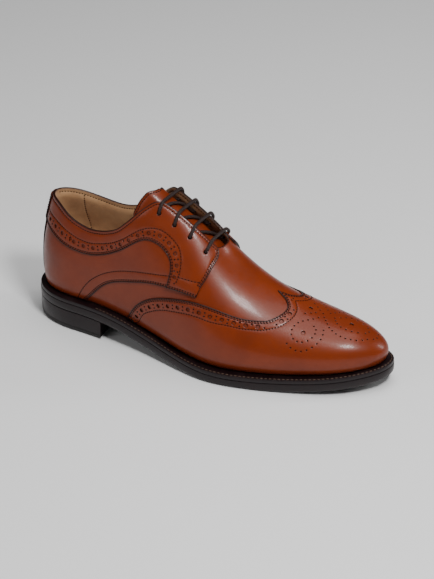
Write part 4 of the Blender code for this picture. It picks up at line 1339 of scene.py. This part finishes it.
def stitchTree():
    tree, entry = nodeTree("stitches", (("Pitch", "Float"), ("Length", "Float"), ("Width", "Float"),
                                        ("Height", "Float"), ("Seed", "Int")))
    curve = addNode(tree, "GeometryNodeMeshToCurve", {"Mesh": entry["Geometry"]})
    spaced = addNode(tree, "GeometryNodeResampleCurve",
                     {"Curve": curve.outputs["Curve"], "Length": entry["Pitch"]}, mode="LENGTH")
    bead = addNode(tree, "GeometryNodeMeshUVSphere", {"Segments": 6, "Rings": 5, "Radius": 0.5})
    vary = addNode(tree, "FunctionNodeRandomValue",
                   {0: (0.9, 0.92, 0.9), 1: (1.04, 1.08, 1.1), "Seed": entry["Seed"]},
                   data_type="FLOAT_VECTOR")
    size = addNode(tree, "ShaderNodeCombineXYZ", {0: entry["Length"], 1: entry["Width"], 2: entry["Height"]})
    scale = addNode(tree, "ShaderNodeVectorMath", {0: size.outputs[0], 1: vary.outputs[0]},
                    operation="MULTIPLY")
    tangent = addNode(tree, "GeometryNodeInputTangent").outputs["Tangent"]
    place = addNode(tree, "GeometryNodeInstanceOnPoints", {
        "Points": spaced.outputs["Curve"], "Instance": bead.outputs["Mesh"],
        "Rotation": standUp(tree, tangent), "Scale": scale.outputs[0]})
    return finishTree(tree, entry, place)


# dark discs of painted shade, one in each pinhole
def pinholeShadowTree():
    tree, entry = nodeTree("pinholeShadowDiscs", (("Thickness", "Float"),))
    disc = addNode(tree, "GeometryNodeMeshCylinder", {"Vertices": 10, "Radius": 1.0, "Depth": 1.0})
    radius = named(tree, "holeRadius", "FLOAT")
    size = addNode(tree, "ShaderNodeCombineXYZ", {0: radius, 1: radius, 2: entry["Thickness"]})
    place = addNode(tree, "GeometryNodeInstanceOnPoints", {
        "Points": entry["Geometry"], "Instance": disc.outputs["Mesh"], "Rotation": standUp(tree),
        "Scale": size.outputs[0]})
    return finishTree(tree, entry, place)


def grown(name, points, edges, normals, tree, values, radii=None):
    # runs a node tree over a guide of points and keeps the plain mesh that it makes
    guideMesh = bpy.data.meshes.new(name + "Guide")
    guideMesh.from_pydata([tuple(p) for p in (points - origin) * mm], edges, [])
    guide = bpy.data.objects.new(name + "Guide", guideMesh)
    bpy.context.scene.collection.objects.link(guide)
    attribute = guideMesh.attributes.new("skinNormal", "FLOAT_VECTOR", "POINT")
    attribute.data.foreach_set("vector", np.asarray(normals, np.float32).ravel())
    if radii is not None:
        setAttribute(guide, "holeRadius", radii)
    modifier = guide.modifiers.new("grow", "NODES")
    modifier.node_group = tree
    for item in tree.interface.items_tree:
        if item.item_type == "SOCKET" and item.in_out == "INPUT" and item.name in values:
            modifier[item.identifier] = values[item.name]
    graph = bpy.context.evaluated_depsgraph_get()
    mesh = bpy.data.meshes.new_from_object(guide.evaluated_get(graph))
    guide.modifiers.clear()
    bpy.data.objects.remove(guide)
    mesh.name = name
    piece = bpy.data.objects.new(name, mesh)
    bpy.context.scene.collection.objects.link(piece)
    mesh.polygons.foreach_set("use_smooth", np.ones(len(mesh.polygons), bool))
    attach(piece, "root")
    print("grown", name, len(mesh.polygons))


def sew(name, lines, tree, sizes, material):
    points, edges, normals = [], [], []
    for line, normal in lines:
        start = len(points)
        points.extend(line)
        normals.extend(normal)
        edges += [(start + i, start + i + 1) for i in range(len(line) - 1)]
    values = {label: sizes[label.lower()] * mm for label in ("Pitch", "Length", "Width", "Height")}
    values.update({"Seed": sizes["seed"], "Material": material})
    grown(name, np.array(points), edges, normals, tree, values)


sewing = stitchTree()
sew("stitching", sewnRows, sewing, threadSizes, threadDark)

weltSizes = {"inset": 2.1, "pitch": 3.4, "length": 2.7, "width": 0.9, "height": 0.7, "start": 66.0,
             "above": 0.1, "seed": 9}
weltRow = inward(fineOutline, weltSizes["inset"])
ahead = weltRow[:, 0] > weltSizes["start"]
first = int(np.argmax(ahead & (weltRow[:, 1] < 0)))
last = len(weltRow) - int(np.argmax((ahead & (weltRow[:, 1] > 0))[::-1]))
weltRow = weltRow[first:last]
weltRow = np.column_stack([weltRow, seat(weltRow[:, 0]) + weltSizes["above"]])
sew("weltStitching", [(weltRow, np.tile([0.0, 0.0, 1.0], (len(weltRow), 1)))], sewing, weltSizes, weltThread)

places, normals, radii = (np.array(column) for column in zip(*punched))
grown("pinholeShadowDiscs", places, [], normals, pinholeShadowTree(),
      {"Thickness": pinholeShadow["thickness"] * mm, "Material": edgeDark}, radii * pinholeShadow["wider"] * mm)

# floor, lights and camera
studio = {
    "floor": (0.8, 0.8, 0.8),
    "floorRough": 0.6,
    "floorHalf": 4.0,
    "floorBelow": 0.0005,
    "world": 0.055,
    # place, aim, size and power of each light
    "lights": {
        "overhead": ((0.12, 0.05, 1.3), (0, 0, 0.03), (1.3, 0.9), 11.5),
        "front": ((-0.6, -1.2, 0.8), (0, 0, 0.03), (0.9, 0.6), 4.0),
        "toeSide": ((0.65, -0.43, 1.1), (0.1, 0, 0.03), (0.25, 0.25), 14.0),
        "behindToe": ((1.15, 0.9, 0.6), (0.1, 0, 0.03), (0.25, 0.5), 6.0),
    },
}


def studioFloor():
    mesh = bpy.data.meshes.new("floor")
    size, depth = studio["floorHalf"], -studio["floorBelow"]
    mesh.from_pydata([(-size, -size, depth), (size, -size, depth), (size, size, depth), (-size, size, depth)],
                     [], [(0, 1, 2, 3)])
    floor = bpy.data.objects.new("floor", mesh)
    bpy.context.scene.collection.objects.link(floor)
    material, tree, shader = newMaterial("paleFloor")
    wire(tree, shader, {"Base Color": studio["floor"] + (1.0,), "Roughness": studio["floorRough"]})
    mesh.materials.append(material)


def areaLight(name, place, aim, size, power):
    light = bpy.data.lights.new(name, "AREA")
    light.shape = "RECTANGLE"
    light.size, light.size_y = size
    light.energy = power
    lamp = bpy.data.objects.new(name, light)
    lamp.location = place
    lamp.rotation_euler = (Vector(aim) - Vector(place)).to_track_quat("-Z", "Y").to_euler()
    bpy.context.scene.collection.objects.link(lamp)


studioFloor()
for name, values in studio["lights"].items():
    areaLight(name, *values)
world = bpy.context.scene.world or bpy.data.worlds.new("studio")
bpy.context.scene.world = world
world.use_nodes = True
world.node_tree.nodes["Background"].inputs[0].default_value = (1.0, 1.0, 1.0, 1.0)
world.node_tree.nodes["Background"].inputs[1].default_value = studio["world"]

view = {"azimuth": 28.49, "elevation": 31.5, "distance": 1800.8, "target": (150.0, 0.0, 40.0), "lens": 142.2,
        "shift": (0.0159, 0.0212)}
turn, rise = math.radians(view["azimuth"]), math.radians(view["elevation"])
back = Vector((math.sin(turn) * math.cos(rise), -math.cos(turn) * math.cos(rise), math.sin(rise)))
target = Vector(tuple((np.array(view["target"]) - origin) * mm))
camera = bpy.data.cameras.new("camera")
camera.lens = view["lens"]
camera.sensor_width = 36.0
camera.shift_x, camera.shift_y = view["shift"]
camera.dof.use_dof = False
cameraObject = bpy.data.objects.new("camera", camera)
cameraObject.location = target + back * view["distance"] * mm
cameraObject.rotation_euler = (-back).to_track_quat("-Z", "Y").to_euler()
bpy.context.scene.collection.objects.link(cameraObject)
bpy.context.scene.camera = cameraObject
